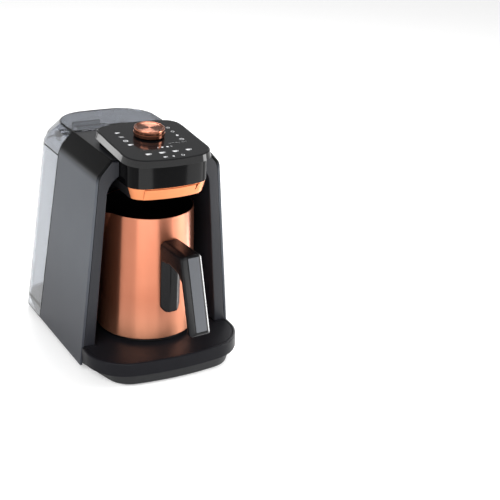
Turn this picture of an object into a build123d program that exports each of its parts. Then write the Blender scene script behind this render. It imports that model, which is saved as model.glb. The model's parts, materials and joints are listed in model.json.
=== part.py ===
from build123d import *
from math import cos, radians, sin
import os

os.makedirs("parts", exist_ok=True)

# Electric Turkish coffee maker: a tapered body with a bowed tray, a tilted control head over the
# pot, a lift-off water tank at the back and a pot with a handle that points to the front.
# Millimetres. +Z up, -Y to the front, +X to the right of someone who faces the machine.

# ---------------------------------------------------------------- driving dimensions
# Body section, seen from the front: tapered sides, bevelled shoulders, flat top
FOOT_HALF_W = 77.0       # half width at the lower edge of the side panels
SHOULDER_HALF_W = 60.5   # half width where the bevel starts
TOP_HALF_W = 47.5        # half width of the flat top
HEM_Z = 6.5              # lower edge of the side panels and of the tank
TOP_Z = 202.0
SHOULDER_DROP = 15.0     # height of the bevelled shoulder
SHOULDER_Z = TOP_Z - SHOULDER_DROP
SHOULDER_R = 12.0        # rounding where the side turns into the bevel
WALL = 2.5               # casing wall
SEAM = 0.3               # joint line between two casings

# Depth of the body
TRAY_FRONT_Y = -96.9
DEPTH = 213.2            # from the tray's front to the tank's back, at the foot
TRAY_REACH = 52.0        # how far the tray stands out before the columns
TANK_DEPTH = 53.2        # at the foot
SEAM_SLOPE = 18.7        # how far the joint line between body and tank leans forward
BACK_SLOPE = 13.6        # how far the back leans forward
FACE_Y = TRAY_FRONT_Y + TRAY_REACH   # front face of the columns
BACK_FOOT_Y = TRAY_FRONT_Y + DEPTH
BACK_TOP_Y = BACK_FOOT_Y - BACK_SLOPE
SEAM_FOOT_Y = BACK_FOOT_Y - TANK_DEPTH
SEAM_TOP_Y = SEAM_FOOT_Y - SEAM_SLOPE
BACK_BOW = 4.0           # how far the back bulges in the middle
TANK_CORNER_R = 24.0
LID_LEAN = 2.0           # how far the lid's back leans in above the shoulder
LID_CORNER_GROWTH = 9.0  # how much its corners grow rounder there

# Base and tray
PLINTH_Z = 2.0           # underside of the plinth
GROOVE_Z = 11.5          # joint line between plinth and tray body
TRAY_Z = 25.0            # top of the tray rim
TRAY_SETBACK = 1.8       # from the panels' foot in to the tray's side
TRAY_HALF_W = FOOT_HALF_W - TRAY_SETBACK
TRAY_BOW = 10.8          # how far the front bulges over the tray's width
TRAY_CORNER_R = 40.0
TRAY_EDGE_R = 1.6
TRAY_RIM = 3.0           # width of the rim around the tray plate
TRAY_PLATE_T = 1.2
TRAY_PLATE_SINK = 0.2    # how far the plate lies below the rim
BAY_PLATE_GAP = 1.0      # between the plate and the bay's walls
PLINTH_INSET = 3.4       # how far the plinth's foot lies inside the tray outline
PLINTH_TOP_INSET = 1.2   # the same at the joint line
PLINTH_BACK_GAP = 2.0    # between the tank's hem and the plinth's back
PLINTH_SHOULDER = 12.0   # from the column faces back to where the plinth's sides run parallel
PLINTH_NOSE = 0.79       # share of the half width that its bowed front takes
PLINTH_BOW = 6.0
PLINTH_CORNER_R = 24.0
FOOT_R = 7.5
FOOT_CHAMFER = 0.6
FOOT_INSET_X = 31.0      # from the panels' foot in to the rubber feet
FOOT_INSET_FRONT = 35.0  # from the tray's front back to the front feet
FOOT_INSET_BACK = 24.2   # from the tank's back forward to the rear feet
BASE_SCREW_INSET = 8.0   # from the bay's side, and forward of the column faces
BASE_SCREW_SETBACK = 12.0  # behind the bay for the rear pair
COUNTERBORE_WALL = 2.0
TRAY_BOSS_WALL = 2.3
GLAND_R = 3.0            # bush for the mains lead
GLAND_X = 46.0
GLAND_REACH = 5.0        # how far the bush stands out of the plinth
GLAND_TAIL = 8.0         # how far it goes in
GLAND_COLLAR = 0.6
GLAND_COLLAR_L = 2.0
LEAD_R = 1.9
SEAT_GAP = 0.8           # between the tank's hem and the ledge inside it
SEAT_T = 2.2
SOCKET_GAP = 1.3         # around the tank's valve
SOCKET_WALL = 2.7
SOCKET_FLOOR_T = 2.0
VALVE_PIN_R = 1.6
PORT_L = 12.0            # inlet port under the socket

# Arch between the columns
ARCH_FOOT_HALF_W = 62.1
ARCH_TOP_HALF_W = 49.0
ARCH_DROP = 14.0         # from the flat top down to the bay's ceiling
ARCH_TOP_Z = TOP_Z - ARCH_DROP
ARCH_R = 22.0
FACE_T = 3.0             # thickness of the column faces
LINER_T = 2.2            # wall of the bay behind the arch
ARCH_EDGE_R = 1.2
PANEL_LIP = 1.6          # how far each side panel wraps onto the flat top
DECK_STEP = 0.8          # how far the deck lies below the flat top's edge
DECK_FLANGE = 1.5
DECK_FLANGE_T = 1.2
BAY_DEPTH = 77.0
BAY_BACK_Y = FACE_Y + BAY_DEPTH

# Head
TILT = 4.35              # forward slope of the control glass, degrees
KNOB_SETBACK = 24.2      # from the column faces back to where the knob's axis meets the glass
KNOB_Y = FACE_Y + KNOB_SETBACK
GLASS_RISE = 9.8         # of the glass above the flat top, on the knob's axis
GLASS_Z = TOP_Z + GLASS_RISE
HEAD_HALF_W = 38.8       # housing below the bezel
HEAD_FRONT = 54.6        # from the knob's axis to the front
HEAD_BACK = 34.0         # from the knob's axis to the back
HEAD_FRONT_BOW = 6.5
HEAD_BACK_BOW = 5.0
HEAD_FRONT_R = 17.0
HEAD_BACK_R = 12.0
HOUSING_DROP = 21.0      # from the flat top down to the housing's underside
HOUSING_Z = TOP_Z - HOUSING_DROP
BEZEL_T = 6.0
BEZEL_OVERHANG = 2.2
BEZEL_LIP = 0.8
BEZEL_CHAMFER = 0.4
BEZEL_DRAW = 1.6         # how far the rim's flanks spread towards its foot
GLASS_T = 2.8
GLASS_GAP = 0.15         # around the glass in its seat
GLASS_PROUD = 0.2
GLASS_CHAMFER = 0.3
SKIRT_H = 10.8
SKIRT_Z = HOUSING_Z - SKIRT_H  # lower edge of the copper skirt
SKIRT_INSET = 3.4        # how far the skirt draws in towards its lower edge
SKIRT_TOP_INSET = 0.4
SKIRT_REACH = 15.0       # how far the copper chin reaches back from the head's front
SKIRT_T = 1.8
SKIRT_PLATE_HALF_W = 27.0
SKIRT_PLATE_T = 0.9
SKIRT_PLATE_DROP = 1.0   # how far it stays below the housing
PLATE_NOTCH_INSET = 3.6  # from the plate's right end to its wedge-shaped notch
PLATE_NOTCH_W = 2.2
PLATE_NOTCH_TIP = 0.7
PLATE_NOTCH_LEAN = 1.2   # how far the notch's tip lies nearer to the middle
PLATE_NOTCH_H = 5.4
UNDER_RECESS = 1.2       # how far the plate that closes the skirt lies inside it
UNDER_T = 1.6
UNDER_RIB_X = (-18.5, 25.5)
UNDER_RIB_T = 3.0
UNDER_RIB_FRONT = 30.0
UNDER_RIB_BACK = 20.0
SPOUT_R = 5.0
SPOUT_DROP = 1.0
SPOUT_FLANGE = 2.0
SPOUT_FLANGE_T = 1.6
SPOUT_NIPPLE = 2.6
NIPPLE_WALL = 0.6
SENSOR_R = 4.5
SENSOR_X = 17.0
SENSOR_RECESS = 0.6
SENSOR_HEAD = 1.2
SENSOR_HEAD_H = 4.0

# Knob and rotary encoder
KNOB_R = 14.0
KNOB_H = 8.8
KNOB_GAP = 1.3           # between the knob and the glass
KNOB_RING_H = 3.6
KNOB_GROOVE = 0.35
KNOB_WALL = 2.2
KNOB_RING_PROUD = 0.3
KNOB_RING_CHAMFER = 0.5
KNOB_TOP_T = 1.6
KNOB_DISH = 0.9          # depth of the dished top in the middle
KNOB_DISH_RIM = 0.6      # and at its edge
KNOB_RIM_W = 1.9
HUB_GAP = 0.05
HUB_GROOVE_W = 0.9
HUB_RECESS_GAP = 1.2
HUB_RECESS = 2.4
KNOB_TRAVEL = 0.8
SHAFT_R = 3.0
SHAFT_CLEAR = 0.05
BUSH_R = 4.5
ENCODER_W = 12.0
ENCODER_H = 5.6
ENCODER_TOP_GAP = 0.2
BUSH_FOOT = 2.0
BUSH_REACH = 0.6
SHAFT_DROP = 2.4         # from the knob's top down to the shaft's end
SHAFT_LIFT = 2.4         # from the board up to its foot
PLUNGER_H = 1.0
PLUNGER_STEP = 0.6
PLUNGER_ROOM = 0.4
BOARD_T = 1.6            # printed boards
BOARD_HALF_W = 31.0
BOARD_HALF_L = 24.0
BOARD_GAP = 0.5
BOARD_SCREW_INSET = 5.0
BOARD_SCREW_L = 6.0
BOARD_BOSS_WALL = 1.7

# Heater
HEATER_R = 42.0
HEATER_TOP_Z = 26.6
HEATER_T = 2.6
ELEMENT_R = 28.0
ELEMENT_TUBE_R = 3.2
HEATER_EDGE_R = 0.8
HEATER_GAP = 0.4         # between the hot plate and the tray body
TERMINAL_L = 8.0
TERMINAL_R = 1.8
BRACKET_Z = 14.0
BRACKET_T = 1.2
BRACKET_W = 8.0
BRACKET_LEG_T = 3.0
BRACKET_REACH = 6.5      # how far its legs stand outside the hot plate
CUTOUT_R = 9.0

# Pump, hoses and mains board
PUMP_R = 10.5
PUMP_L = 42.0
PUMP_Z = 40.0
PUMP_SETBACK = 14.0      # behind the bay
PUMP_Y = BAY_BACK_Y + PUMP_SETBACK
PUMP_HEAD_L = 10.0
PUMP_HEAD_HALF_W = 7.0
PUMP_HEAD_DROP = 8.0
PUMP_HEAD_RISE = 6.0
PUMP_FOOT_HALF_L = 12.0
PUMP_FOOT_HALF_W = 6.0
PUMP_NIPPLE = 4.0
PUMP_INLET = 4.0         # from the pump's end to its inlet
TUBE_R = 2.5
TUBE_BORE_R = 1.5
TUBE_GAP = 0.6           # around a hose in a hole
TUBE_X = 13.0
TUBE_TOP_GAP = 0.8       # between the hose and the top of the bay
TUBE_BACK_GAP = 1.2      # between the hose and the back of the bay
TUBE_BEND_R = 5.0
TUBE_LOW_RUN = 9.0       # straight run at the inlet port
TUBE_FIRST_RISE = 14.0   # straight run at the pump's outlet
TUBE_SECOND_RISE = 40.0
TUBE_TURN_IN = 16.0      # inside the head, from its back to the hose's turn
POWER_LEFT = -52.0
POWER_W = 56.0
POWER_H = 66.0
POWER_LIFT = 8.0         # above the pump
POWER_STANDOFF = 2.0
POWER_STUD_R = 2.5
POWER_STUD_INSET = 5.0
RELAY_W = 16.0
RELAY_H = 20.0
RELAY_X = 8.0
RELAY_Z = 6.0
COIL_W = 22.0
COIL_H = 18.0
COIL_X = 30.0
COIL_Z = 8.0
PART_DEPTH = 5.4
CAP_R = 2.9
CAP_L = 18.0
CAP_X = 16.0
CAP_Z = 44.0
CAP_SINK = 0.3           # how far the capacitor dips into the board's face

# Pot and handle
POT_SETBACK = 26.0       # from the column faces back to the pot's axis
POT_Y = FACE_Y + POT_SETBACK
POT_FOOT_R = 46.0
POT_RIM_R = 43.3
POT_FOOT_Z = 28.4
POT_RIM_Z = 147.2
POT_WALL = 1.2
POT_DISC_R = 43.5
POT_EDGE_R = 1.5
DISC_CHAMFER = 0.5
REST_GAP = 0.3           # between the heater and the pot that stands on it
LIP_REACH = 5.6          # how far the pouring lip stands out
LIP_R = 15.0
LIP_DROP = 34.0
LIP_FOOT_R = 4.0
LIP_FOOT_SINK = 5.0
HANDLE_TURN = 5.0        # degrees that the handle is turned from straight ahead
HANDLE_HALF_W = 10.3
PAD_FOOT_Z = 57.0
PAD_TOP_Z = 126.5
PAD_REACH = 51.5         # from the pot's axis to the face of the pad
GRIP_TOP_REACH = 82.5    # from the pot's axis to the front of the grip, at its top
GRIP_FOOT_REACH = 103.0
GRIP_TOP_Z = 125.0
GRIP_FOOT_Z = 52.5
GRIP_T = 10.5
ARM_UNDER_Z = 108.0
GRIP_CHAMFER = 3.8
INSERT_T = 1.4
PAD_FACE_HALF_W = 4.0    # flat middle of the pad's front
PAD_SHOULDER = 5.6       # how far the pad's sides slope back
PAD_SINK = 6.0           # how far the pad's blank reaches into the pot
ARM_SLOPE = 3.0          # the arm's underside, higher at the pad
ARM_DIP = 2.0            # and lower at the grip
ARM_PAD_R = 7.0
ARM_GRIP_R = 9.0
GRIP_END_R = 4.2
GRIP_NOSE_R = 2.0
GRIP_FOOT_LIFT = 2.0     # the grip's lower end, higher at the back
GRIP_FOOT_DRAW = 0.6
GRIP_FOOT_CHAMFER = 3.0
GRIP_BACK_CHAMFER = 2.0
PAD_FOOT_ACROSS = 3.6
PAD_FOOT_DEPTH = 4.4
PAD_BEVEL_DROP = 9.0
INSERT_MARGIN = 0.3
INSERT_FOOT_GAP = 6.5
INSERT_TOP_GAP = 2.0
INSERT_GAP = 0.1         # around the insert in its slot
INSERT_SINK = 0.3
LUG_L = 10.0             # lug on the pot, inside the pad
LUG_W = 8.0
LUG_SETBACK = 6.7        # from the pad's face to the lug's middle
LUG_GAP = 0.15
LUG_SPAN = (0.2, 0.85)   # share of the pad's height
HANDLE_SCREW_SETBACK = 3.7  # from the pad's face to the screw's axis
HANDLE_SCREW_SINK = 4.0  # of the head's seat above the pad's lower end
HANDLE_SCREW_R = 1.2
HANDLE_SCREW_L = 17.0
HANDLE_SCREW_HEAD_R = 1.9
HANDLE_SCREW_HEAD_H = 1.4
HANDLE_SCREW_SLOT_W = 0.7
HANDLE_SCREW_SLOT_DEPTH = 0.5

# Tank
TANK_GAP = 0.4           # between the tank and the body's joint line
LID_SKIRT_H = 8.0        # upright part of the lid below the shoulder
TANK_TOP_Z = SHOULDER_Z - LID_SKIRT_H
TANK_WALL = 2.4
TANK_FLOOR_Z = 16.0      # underside of the tank's floor
TANK_FLOOR_T = 3.0
LID_WALL = 2.0
VALVE_SETBACK = 30.2     # from the tank's back to its valve
VALVE_Y = BACK_FOOT_Y - VALVE_SETBACK
VALVE_R = 7.0
VALVE_WALL = 1.5
VALVE_FLANGE = 1.0
VALVE_FLANGE_T = 1.6
VALVE_SPIGOT_L = 6.0     # below the tank's floor
VALVE_FOOT_DROP = 5.0    # underside of the plunger below the tank's floor
STEM_R = 2.0
STEM_RISE = 7.0
STEM_CAP_H = 2.0
STEM_HEAD_H = 2.0
SPRING_R = 3.1
SPRING_WIRE_R = 0.4
SPRING_COILS = 3
SPRING_GAP = 0.55        # wire's centre line to the faces it presses on
SEAL_WIRE_R = 0.9
SEAL_DROP = 3.0
FILTER_GAP = 2.3
FILTER_WALL = 1.2
FILTER_H = 18.0
FILTER_SLOT_W = 2.0
FILTER_SLOT_END = 4.0
HEM_FRONT = 4.0          # how far the hem's front is open
LEAD_SLOT_GAP = 2.0      # around the lead's bush in the hem
LEAD_SLOT_DEPTH = 6.0
HINGE_X = 30.0
HINGE_PIN_R = 1.5
HINGE_BARREL_R = 3.2
HINGE_BARREL_L = 12.0
HINGE_EAR_T = 3.0
HINGE_STANDOFF = 4.2
HINGE_CLEAR = 0.08
HINGE_WALL_SHARE = 0.6   # share of the back's bow where the hinges stand
EAR_DROP = 7.0
BARREL_WEB_SINK = 1.2
BARREL_WEB_PAST = 0.5
HINGE_ROOM = 9.0         # half width of the room that the lid's hinges sweep
LID_BEND = 5.0           # height over which the lid turns into the bevel
LID_BEND_SHARE = 0.7
LID_TOP_STEP = 0.8
LID_RIB_X = (-37.0, -9.0)
LID_RIB_H = 7.0
LID_RIB_SINK = 1.0
TAB_GAP = 0.1
TAB_DROP = 0.4
TAB_SCOOP_R = 10.5
TAB_SCOOP_RISE = 9.0
TAB_SCOOP_SHARE = 0.4
NOTCH_WALL = 2.0
NOTCH_LAP = 0.5
NOTCH_HALF_W = 7.0
NOTCH_DEPTH = 10.0
NOTCH_SINK = 3.0
LID_RIBS = (14.0, 27.0)  # stiffening ribs, behind the lid's front edge

# Screws
SCREW_R = 1.5
SCREW_HEAD_R = 3.0
SCREW_HEAD_H = 1.8
SCREW_CLEAR = 0.2
SLOT_W = 0.8
SLOT_DEPTH = 0.7
HOLE_END = 2.0           # solid left above a blind hole
TIP_GAP = 1.0            # between a screw's tip and the end of its hole
FIT = 0.02               # a fixed pin, shank or nipple in its hole

UP = (Align.CENTER, Align.CENTER, Align.MIN)
FAR = 400.0              # longer than the machine, for cutting blocks
PAST = 1.0               # how far a cutting shape reaches past what it cuts


# ---------------------------------------------------------------- shared shapes
def post(x, y, z0, z1, radius):
    """Upright round bar from z0 to z1."""
    return Pos(x, y, z0) * Cylinder(radius, z1 - z0, align=UP)


def block(x0, x1, y0, y1, z0, z1):
    """Box between two corners."""
    return Pos((x0 + x1) / 2, (y0 + y1) / 2, z0) * Box(x1 - x0, y1 - y0, z1 - z0, align=UP)


def polygon(points):
    """Flat face inside a closed line."""
    return make_face(Polyline(*points, close=True))


def along_y(face, y0, y1):
    """Front-view face (x, z) drawn out from y0 to y1."""
    return Pos(0, y1, 0) * extrude(Plane.XZ * face, amount=y1 - y0)


def along_x(face, x0, x1):
    """Side-view face (y, z) drawn out from x0 to x1."""
    return Pos(x0, 0, 0) * extrude(Plane.YZ * face, amount=x1 - x0)


def corner(face, x, y):
    """Vertex of a flat face nearest to a point."""
    return face.vertices().sort_by_distance((x, y, 0))[0]


def mix(a, b, share):
    """Value between a and b."""
    return a + (b - a) * share


def half_w(z):
    """Half width of the body's outside at height z."""
    if z <= SHOULDER_Z:
        return mix(FOOT_HALF_W, SHOULDER_HALF_W, (z - HEM_Z) / (SHOULDER_Z - HEM_Z))
    return mix(SHOULDER_HALF_W, TOP_HALF_W, (z - SHOULDER_Z) / (TOP_Z - SHOULDER_Z))


def seam_y(z):
    """Joint line between body and tank at height z."""
    return mix(SEAM_FOOT_Y, SEAM_TOP_Y, (z - HEM_Z) / (TOP_Z - HEM_Z))


def back_y(z):
    """Back of the tank at height z, at its sides."""
    return mix(BACK_FOOT_Y, BACK_TOP_Y, (z - HEM_Z) / (TOP_Z - HEM_Z)) - LID_LEAN * shoulder_share(z)


def shoulder_share(z):
    """How far up the bevelled shoulder a height lies, from 0 to 1."""
    return max(0.0, (z - SHOULDER_Z) / (TOP_Z - SHOULDER_Z))


def section_path(inset, lip):
    """Right half of the body section, from the foot over the shoulder onto the top."""
    path = [(FOOT_HALF_W, HEM_Z), (SHOULDER_HALF_W, SHOULDER_Z), (TOP_HALF_W, TOP_Z), (TOP_HALF_W - lip, TOP_Z)]
    points = [Vector(*p) for p in path]
    steps = [(b - a).normalized() for a, b in zip(points, points[1:])]
    inward = [Vector(-d.Y, d.X) for d in steps]
    moved = [points[0] + inward[0] * inset]
    for before, after, point in zip(inward, inward[1:], points[1:]):
        middle = (before + after).normalized()
        moved.append(point + middle * (inset / middle.dot(after)))
    moved.append(points[-1] + inward[-1] * inset)
    return [(p.X, p.Y) for p in moved]


def section_face(inset):
    """Whole body section, seen from the front, drawn in by an inset."""
    right = section_path(inset, WALL)[:3]
    left = [(-x, z) for x, z in reversed(right)]
    face = polygon(right + left)
    for x in (right[1][0], left[1][0]):
        face = fillet(corner(face, x, right[1][1]), SHOULDER_R)
    return face


def seam_slab(y0, y1):
    """Sloping slab parallel to the joint line, from y0 to y1 behind it."""
    low = seam_y(-FAR / 2)
    high = seam_y(FAR)
    points = [(low + y0, -FAR / 2), (low + y1, -FAR / 2), (high + y1, FAR), (high + y0, FAR)]
    return along_x(polygon(points), -FAR / 2, FAR / 2)


# ---------------------------------------------------------------- side panels and rear wall
def side_panel():
    """Right-hand side panel: one bent sheet from the foot to the flat top."""
    outer = section_path(0, PANEL_LIP)
    inner = section_path(WALL, PANEL_LIP)
    face = polygon(outer + inner[::-1])
    face = fillet(corner(face, *outer[1]), SHOULDER_R)
    face = fillet(corner(face, *inner[1]), SHOULDER_R - WALL)
    sheet = along_y(face, FACE_Y, BACK_FOOT_Y)
    return sheet - seam_slab(0, FAR)


def rear_wall():
    """Sloping wall that closes the body towards the tank."""
    prism = along_y(section_face(WALL + SEAM), BAY_BACK_Y, BACK_FOOT_Y)
    prism = prism - block(-FAR, FAR, -FAR, FAR, -FAR, GROOVE_Z + SEAM)
    prism = prism - block(-FAR, FAR, -FAR, FAR, deck_under_z(), FAR)
    return prism & seam_slab(-SEAM - WALL, -SEAM)


# ---------------------------------------------------------------- base
def tray_outline(inset, back):
    """Plan of the tray: bowed front, large corners, straight sides back to a line."""
    w = TRAY_HALF_W - inset
    front = TRAY_FRONT_Y + inset
    side = front + TRAY_BOW
    edges = [
        ThreePointArc((-w, side), (0, front), (w, side)),
        Line((w, side), (w, back)),
        Line((w, back), (-w, back)),
        Line((-w, back), (-w, side)),
    ]
    face = make_face(edges)
    for x in (-w, w):
        face = fillet(corner(face, x, side), TRAY_CORNER_R - inset)
    return face


def inner_half_w(z):
    """Half width inside the side panels, with the joint line left free."""
    return half_w(z) - WALL - SEAM


def base_plinth():
    """Lower tub: hull-shaped front, straight sides, open on top, with counterbored screw holes."""
    low = Pos(0, 0, PLINTH_Z) * plinth_outline(PLINTH_INSET)
    high = Pos(0, 0, GROOVE_Z) * plinth_outline(PLINTH_TOP_INSET)
    outer = loft([low, high], ruled=True)
    low_in = Pos(0, 0, PLINTH_Z + WALL) * plinth_outline(PLINTH_INSET + WALL)
    high_in = Pos(0, 0, GROOVE_Z + PAST) * plinth_outline(PLINTH_TOP_INSET + WALL)
    tub = outer - loft([low_in, high_in], ruled=True)
    for x, y in base_screw_places():
        tub = tub + post(x, y, PLINTH_Z, PLINTH_Z + WALL + SCREW_HEAD_H, SCREW_HEAD_R + COUNTERBORE_WALL)
        tub = tub - post(x, y, PLINTH_Z - PAST, PLINTH_Z + WALL, SCREW_HEAD_R + SEAM)
        tub = tub - post(x, y, PLINTH_Z - PAST, GROOVE_Z, SCREW_R + SCREW_CLEAR)
    return tub - gland_place() * Cylinder(GLAND_R, 2 * (GLAND_REACH + GLAND_TAIL), align=UP)


def plinth_outline(inset):
    """Plan of the plinth: inset tray front, sides drawn in to clear the panels, rounded back."""
    side = inner_half_w(HEM_Z) - inset
    front = TRAY_FRONT_Y + inset
    back = BACK_FOOT_Y - TANK_WALL - PLINTH_BACK_GAP - inset
    shoulder = FACE_Y + PLINTH_SHOULDER
    nose = side * PLINTH_NOSE
    edges = [
        ThreePointArc((-nose, front + PLINTH_BOW), (0, front), (nose, front + PLINTH_BOW)),
        Line((nose, front + PLINTH_BOW), (side, shoulder)),
        Line((side, shoulder), (side, back)),
        Line((side, back), (-side, back)),
        Line((-side, back), (-side, shoulder)),
        Line((-side, shoulder), (-nose, front + PLINTH_BOW)),
    ]
    face = make_face(edges)
    for x in (-side, side):
        face = fillet(corner(face, x, back), TANK_CORNER_R - 2 * PLINTH_BACK_GAP)
    for x in (-nose, nose):
        face = fillet(corner(face, x, front + PLINTH_BOW), PLINTH_CORNER_R)
    return face


def base_screw_places():
    """The four screws that hold the plinth to the tray body."""
    x = ARCH_FOOT_HALF_W - BASE_SCREW_INSET
    front = FACE_Y - BASE_SCREW_INSET
    back = BAY_BACK_Y + BASE_SCREW_SETBACK
    return [(-x, front), (x, front), (-x, back), (x, back)]


def gland_place():
    """Outer end of the mains lead's bush, low in the plinth's back wall."""
    back = BACK_FOOT_Y - TANK_WALL - PLINTH_BACK_GAP - mix(PLINTH_INSET, PLINTH_TOP_INSET, 0.5)
    return Location((GLAND_X, back + GLAND_REACH, mix(PLINTH_Z + WALL, GROOVE_Z, 0.5)), (90, 0, 0))


def cord_gland():
    """Bush in the plinth's back wall for the mains lead."""
    body = Cylinder(GLAND_R - SHAFT_CLEAR, GLAND_REACH + GLAND_TAIL, align=UP)
    collar = Cylinder(GLAND_R + GLAND_COLLAR, GLAND_COLLAR_L, align=UP)
    bore = Cylinder(LEAD_R, FAR)
    return gland_place() * (body + collar - bore)


def tray_body():
    """Upper base moulding: band, rim, top plate with the heater's hole and the screw bosses."""
    bottom = GROOVE_Z + SEAM
    back = seam_y(bottom) - SEAM - WALL - SEAM
    front_outer = extrude(Pos(0, 0, bottom) * tray_outline(0, FACE_Y - SEAM), amount=TRAY_Z - bottom)
    front_outer = fillet(front_outer.faces().sort_by(Axis.Z)[-1].edges().filter_by(
        lambda e: e.center().Y < FACE_Y - PAST), TRAY_EDGE_R)
    rear_outer = block(-inner_half_w(TRAY_Z), inner_half_w(TRAY_Z), FACE_Y - 2 * WALL, back, bottom, TRAY_Z)
    outer = front_outer + rear_outer
    front_inner = extrude(Pos(0, 0, bottom - PAST) * tray_outline(WALL, FACE_Y), amount=TRAY_Z - WALL - bottom + PAST)
    rear_inner = block(-inner_half_w(TRAY_Z) + WALL, inner_half_w(TRAY_Z) - WALL, FACE_Y - 2 * WALL, back - WALL,
                       bottom - PAST, TRAY_Z - WALL)
    body = outer - front_inner - rear_inner
    for x, y in base_screw_places():
        body = body + post(x, y, PLINTH_Z + WALL + SCREW_HEAD_H, TRAY_Z - WALL / 2, SCREW_R + TRAY_BOSS_WALL)
        body = body - post(x, y, PLINTH_Z, TRAY_Z - WALL - HOLE_END, SCREW_R)
    body = body - tray_recess(0)
    body = body - post(0, POT_Y, bottom - PAST, TRAY_Z + PAST, HEATER_R + HEATER_GAP)
    body = body - post(inlet_x(), PUMP_Y, bottom - PAST, TRAY_Z + PAST, TUBE_R + TUBE_GAP)
    return body - seam_slab(-2 * SEAM - WALL, FAR)


def tray_recess(gap):
    """Shallow space for the tray plate: the tray front and the floor of the bay."""
    low = TRAY_Z - TRAY_PLATE_T
    half = ARCH_FOOT_HALF_W - BAY_PLATE_GAP - gap
    front = extrude(Pos(0, 0, low) * tray_outline(TRAY_RIM + gap, FACE_Y + FACE_T), amount=TRAY_PLATE_T + PAST)
    keep = block(-half, half, -FAR, FAR, 0, FAR)
    keep = keep + block(-FAR, FAR, -FAR, FACE_Y - TRAY_RIM - gap, 0, FAR)
    bay = block(-half, half, FACE_Y, BAY_BACK_Y - BAY_PLATE_GAP - gap, low, TRAY_Z + PAST)
    return (front & keep) + bay


def tray_plate():
    """Black plate that lines the tray and the floor of the bay, with a hole for the heater."""
    plate = tray_recess(SEAM) - block(-FAR, FAR, -FAR, FAR, TRAY_Z - TRAY_PLATE_SINK, FAR)
    return plate - post(0, POT_Y, 0, FAR, HEATER_R + HEATER_GAP)


def rubber_foot(x, y):
    """One foot, glued under the plinth."""
    foot = post(x, y, 0, PLINTH_Z, FOOT_R)
    return chamfer(foot.faces().sort_by(Axis.Z)[0].edges(), FOOT_CHAMFER)


def screw(x, y, z0, length, flip=1):
    """Pan-head screw that points up from z0, or down with flip -1."""
    head = Cylinder(SCREW_HEAD_R, SCREW_HEAD_H, align=UP)
    shank = Pos(0, 0, SCREW_HEAD_H) * Cylinder(SCREW_R - FIT, length, align=UP)
    slot = Box(2 * SCREW_HEAD_R + PAST, SLOT_W, 2 * SLOT_DEPTH)
    body = head + shank - slot
    if flip < 0:
        body = Rot(180, 0, 0) * body
    return Pos(x, y, z0) * body


def base_screws():
    """Four screws from below, through the plinth into the tray body."""
    z0 = PLINTH_Z + WALL - SCREW_HEAD_H
    length = TRAY_Z - WALL - HOLE_END - TIP_GAP - z0 - SCREW_HEAD_H
    return Compound([screw(x, y, z0, length) for x, y in base_screw_places()])


def tank_seat_outline(inset):
    """Plan of the ledge that stands inside the tank's hem."""
    return tank_plan(TANK_FLOOR_Z, TANK_WALL + SEAT_GAP + inset)


def tank_seat():
    """Ledge under the tank with the socket for its valve and the inlet port."""
    bottom = GROOVE_Z + SEAM
    top = TANK_FLOOR_Z - REST_GAP
    ledge = extrude(Pos(0, 0, bottom) * tank_seat_outline(0), amount=top - bottom)
    ledge = ledge - extrude(Pos(0, 0, bottom - PAST) * tank_seat_outline(WALL), amount=top - SEAT_T - bottom + PAST)
    floor = PLINTH_Z + WALL
    socket = post(0, VALVE_Y, floor, top, VALVE_R + SOCKET_GAP + SOCKET_WALL)
    well = post(0, VALVE_Y, floor + SOCKET_FLOOR_T, top + PAST, VALVE_R + SOCKET_GAP)
    pin = post(0, VALVE_Y, floor + SOCKET_FLOOR_T / 2, valve_foot_z() - REST_GAP, VALVE_PIN_R)
    place = Location((0, VALVE_Y - VALVE_R - PORT_L / 2, inlet_z()), (90, 0, 0))
    port = place * Cylinder(TUBE_R, PORT_L)
    port_bore = place * Cylinder(TUBE_BORE_R, PORT_L + 2 * (SOCKET_GAP + SOCKET_WALL))
    return ledge + socket + port - well - port_bore + pin


# ---------------------------------------------------------------- front frame
def arch_face(grow):
    """Opening between the columns, seen from the front, grown by a wall."""
    foot = ARCH_FOOT_HALF_W + grow
    top = ARCH_TOP_HALF_W + grow
    height = ARCH_TOP_Z + grow
    face = polygon([(foot, TRAY_Z), (top, height), (-top, height), (-foot, TRAY_Z)])
    for x in (-top, top):
        face = fillet(corner(face, x, height), ARCH_R + grow)
    return face


def head_block(gap, z0, z1):
    """Upright prism of the head's plan, for the housing and for the holes it passes through."""
    return extrude(Pos(0, KNOB_Y, z0) * head_outline(-gap), amount=z1 - z0)


def front_frame():
    """Column faces and the bay behind them in one moulding, open at the top for the head."""
    face = along_y(section_face(WALL + SEAM), FACE_Y, FACE_Y + FACE_T)
    face = face - block(-FAR, FAR, -FAR, FAR, -FAR, TRAY_Z)
    face = face - block(-FAR, FAR, -FAR, FAR, TOP_Z - WALL - SEAM, FAR)
    tunnel_end = BAY_BACK_Y + LINER_T
    liner = along_y(arch_face(LINER_T), FACE_Y, tunnel_end)
    bay = along_y(arch_face(0), FACE_Y - PAST, BAY_BACK_Y)
    frame = face + liner - bay - head_block(SEAM, HOUSING_Z - SEAM, FAR)
    rim = frame.edges().filter_by(lambda e: abs(e.center().Y - FACE_Y) < FIT and on_arch(e))
    return fillet(rim, ARCH_EDGE_R)


def on_arch(edge):
    """Whether an edge of the front face belongs to one of the columns' inner sides."""
    at = edge.center()
    inner = mix(ARCH_FOOT_HALF_W, ARCH_TOP_HALF_W, (at.Z - TRAY_Z) / (ARCH_TOP_Z - TRAY_Z))
    return abs(abs(at.X) - inner) < FACE_T and edge.length > 2 * ARCH_R


def deck_under_z():
    """Underside of the top deck's flange."""
    return TOP_Z - 2 * WALL - 2 * SEAM


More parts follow.
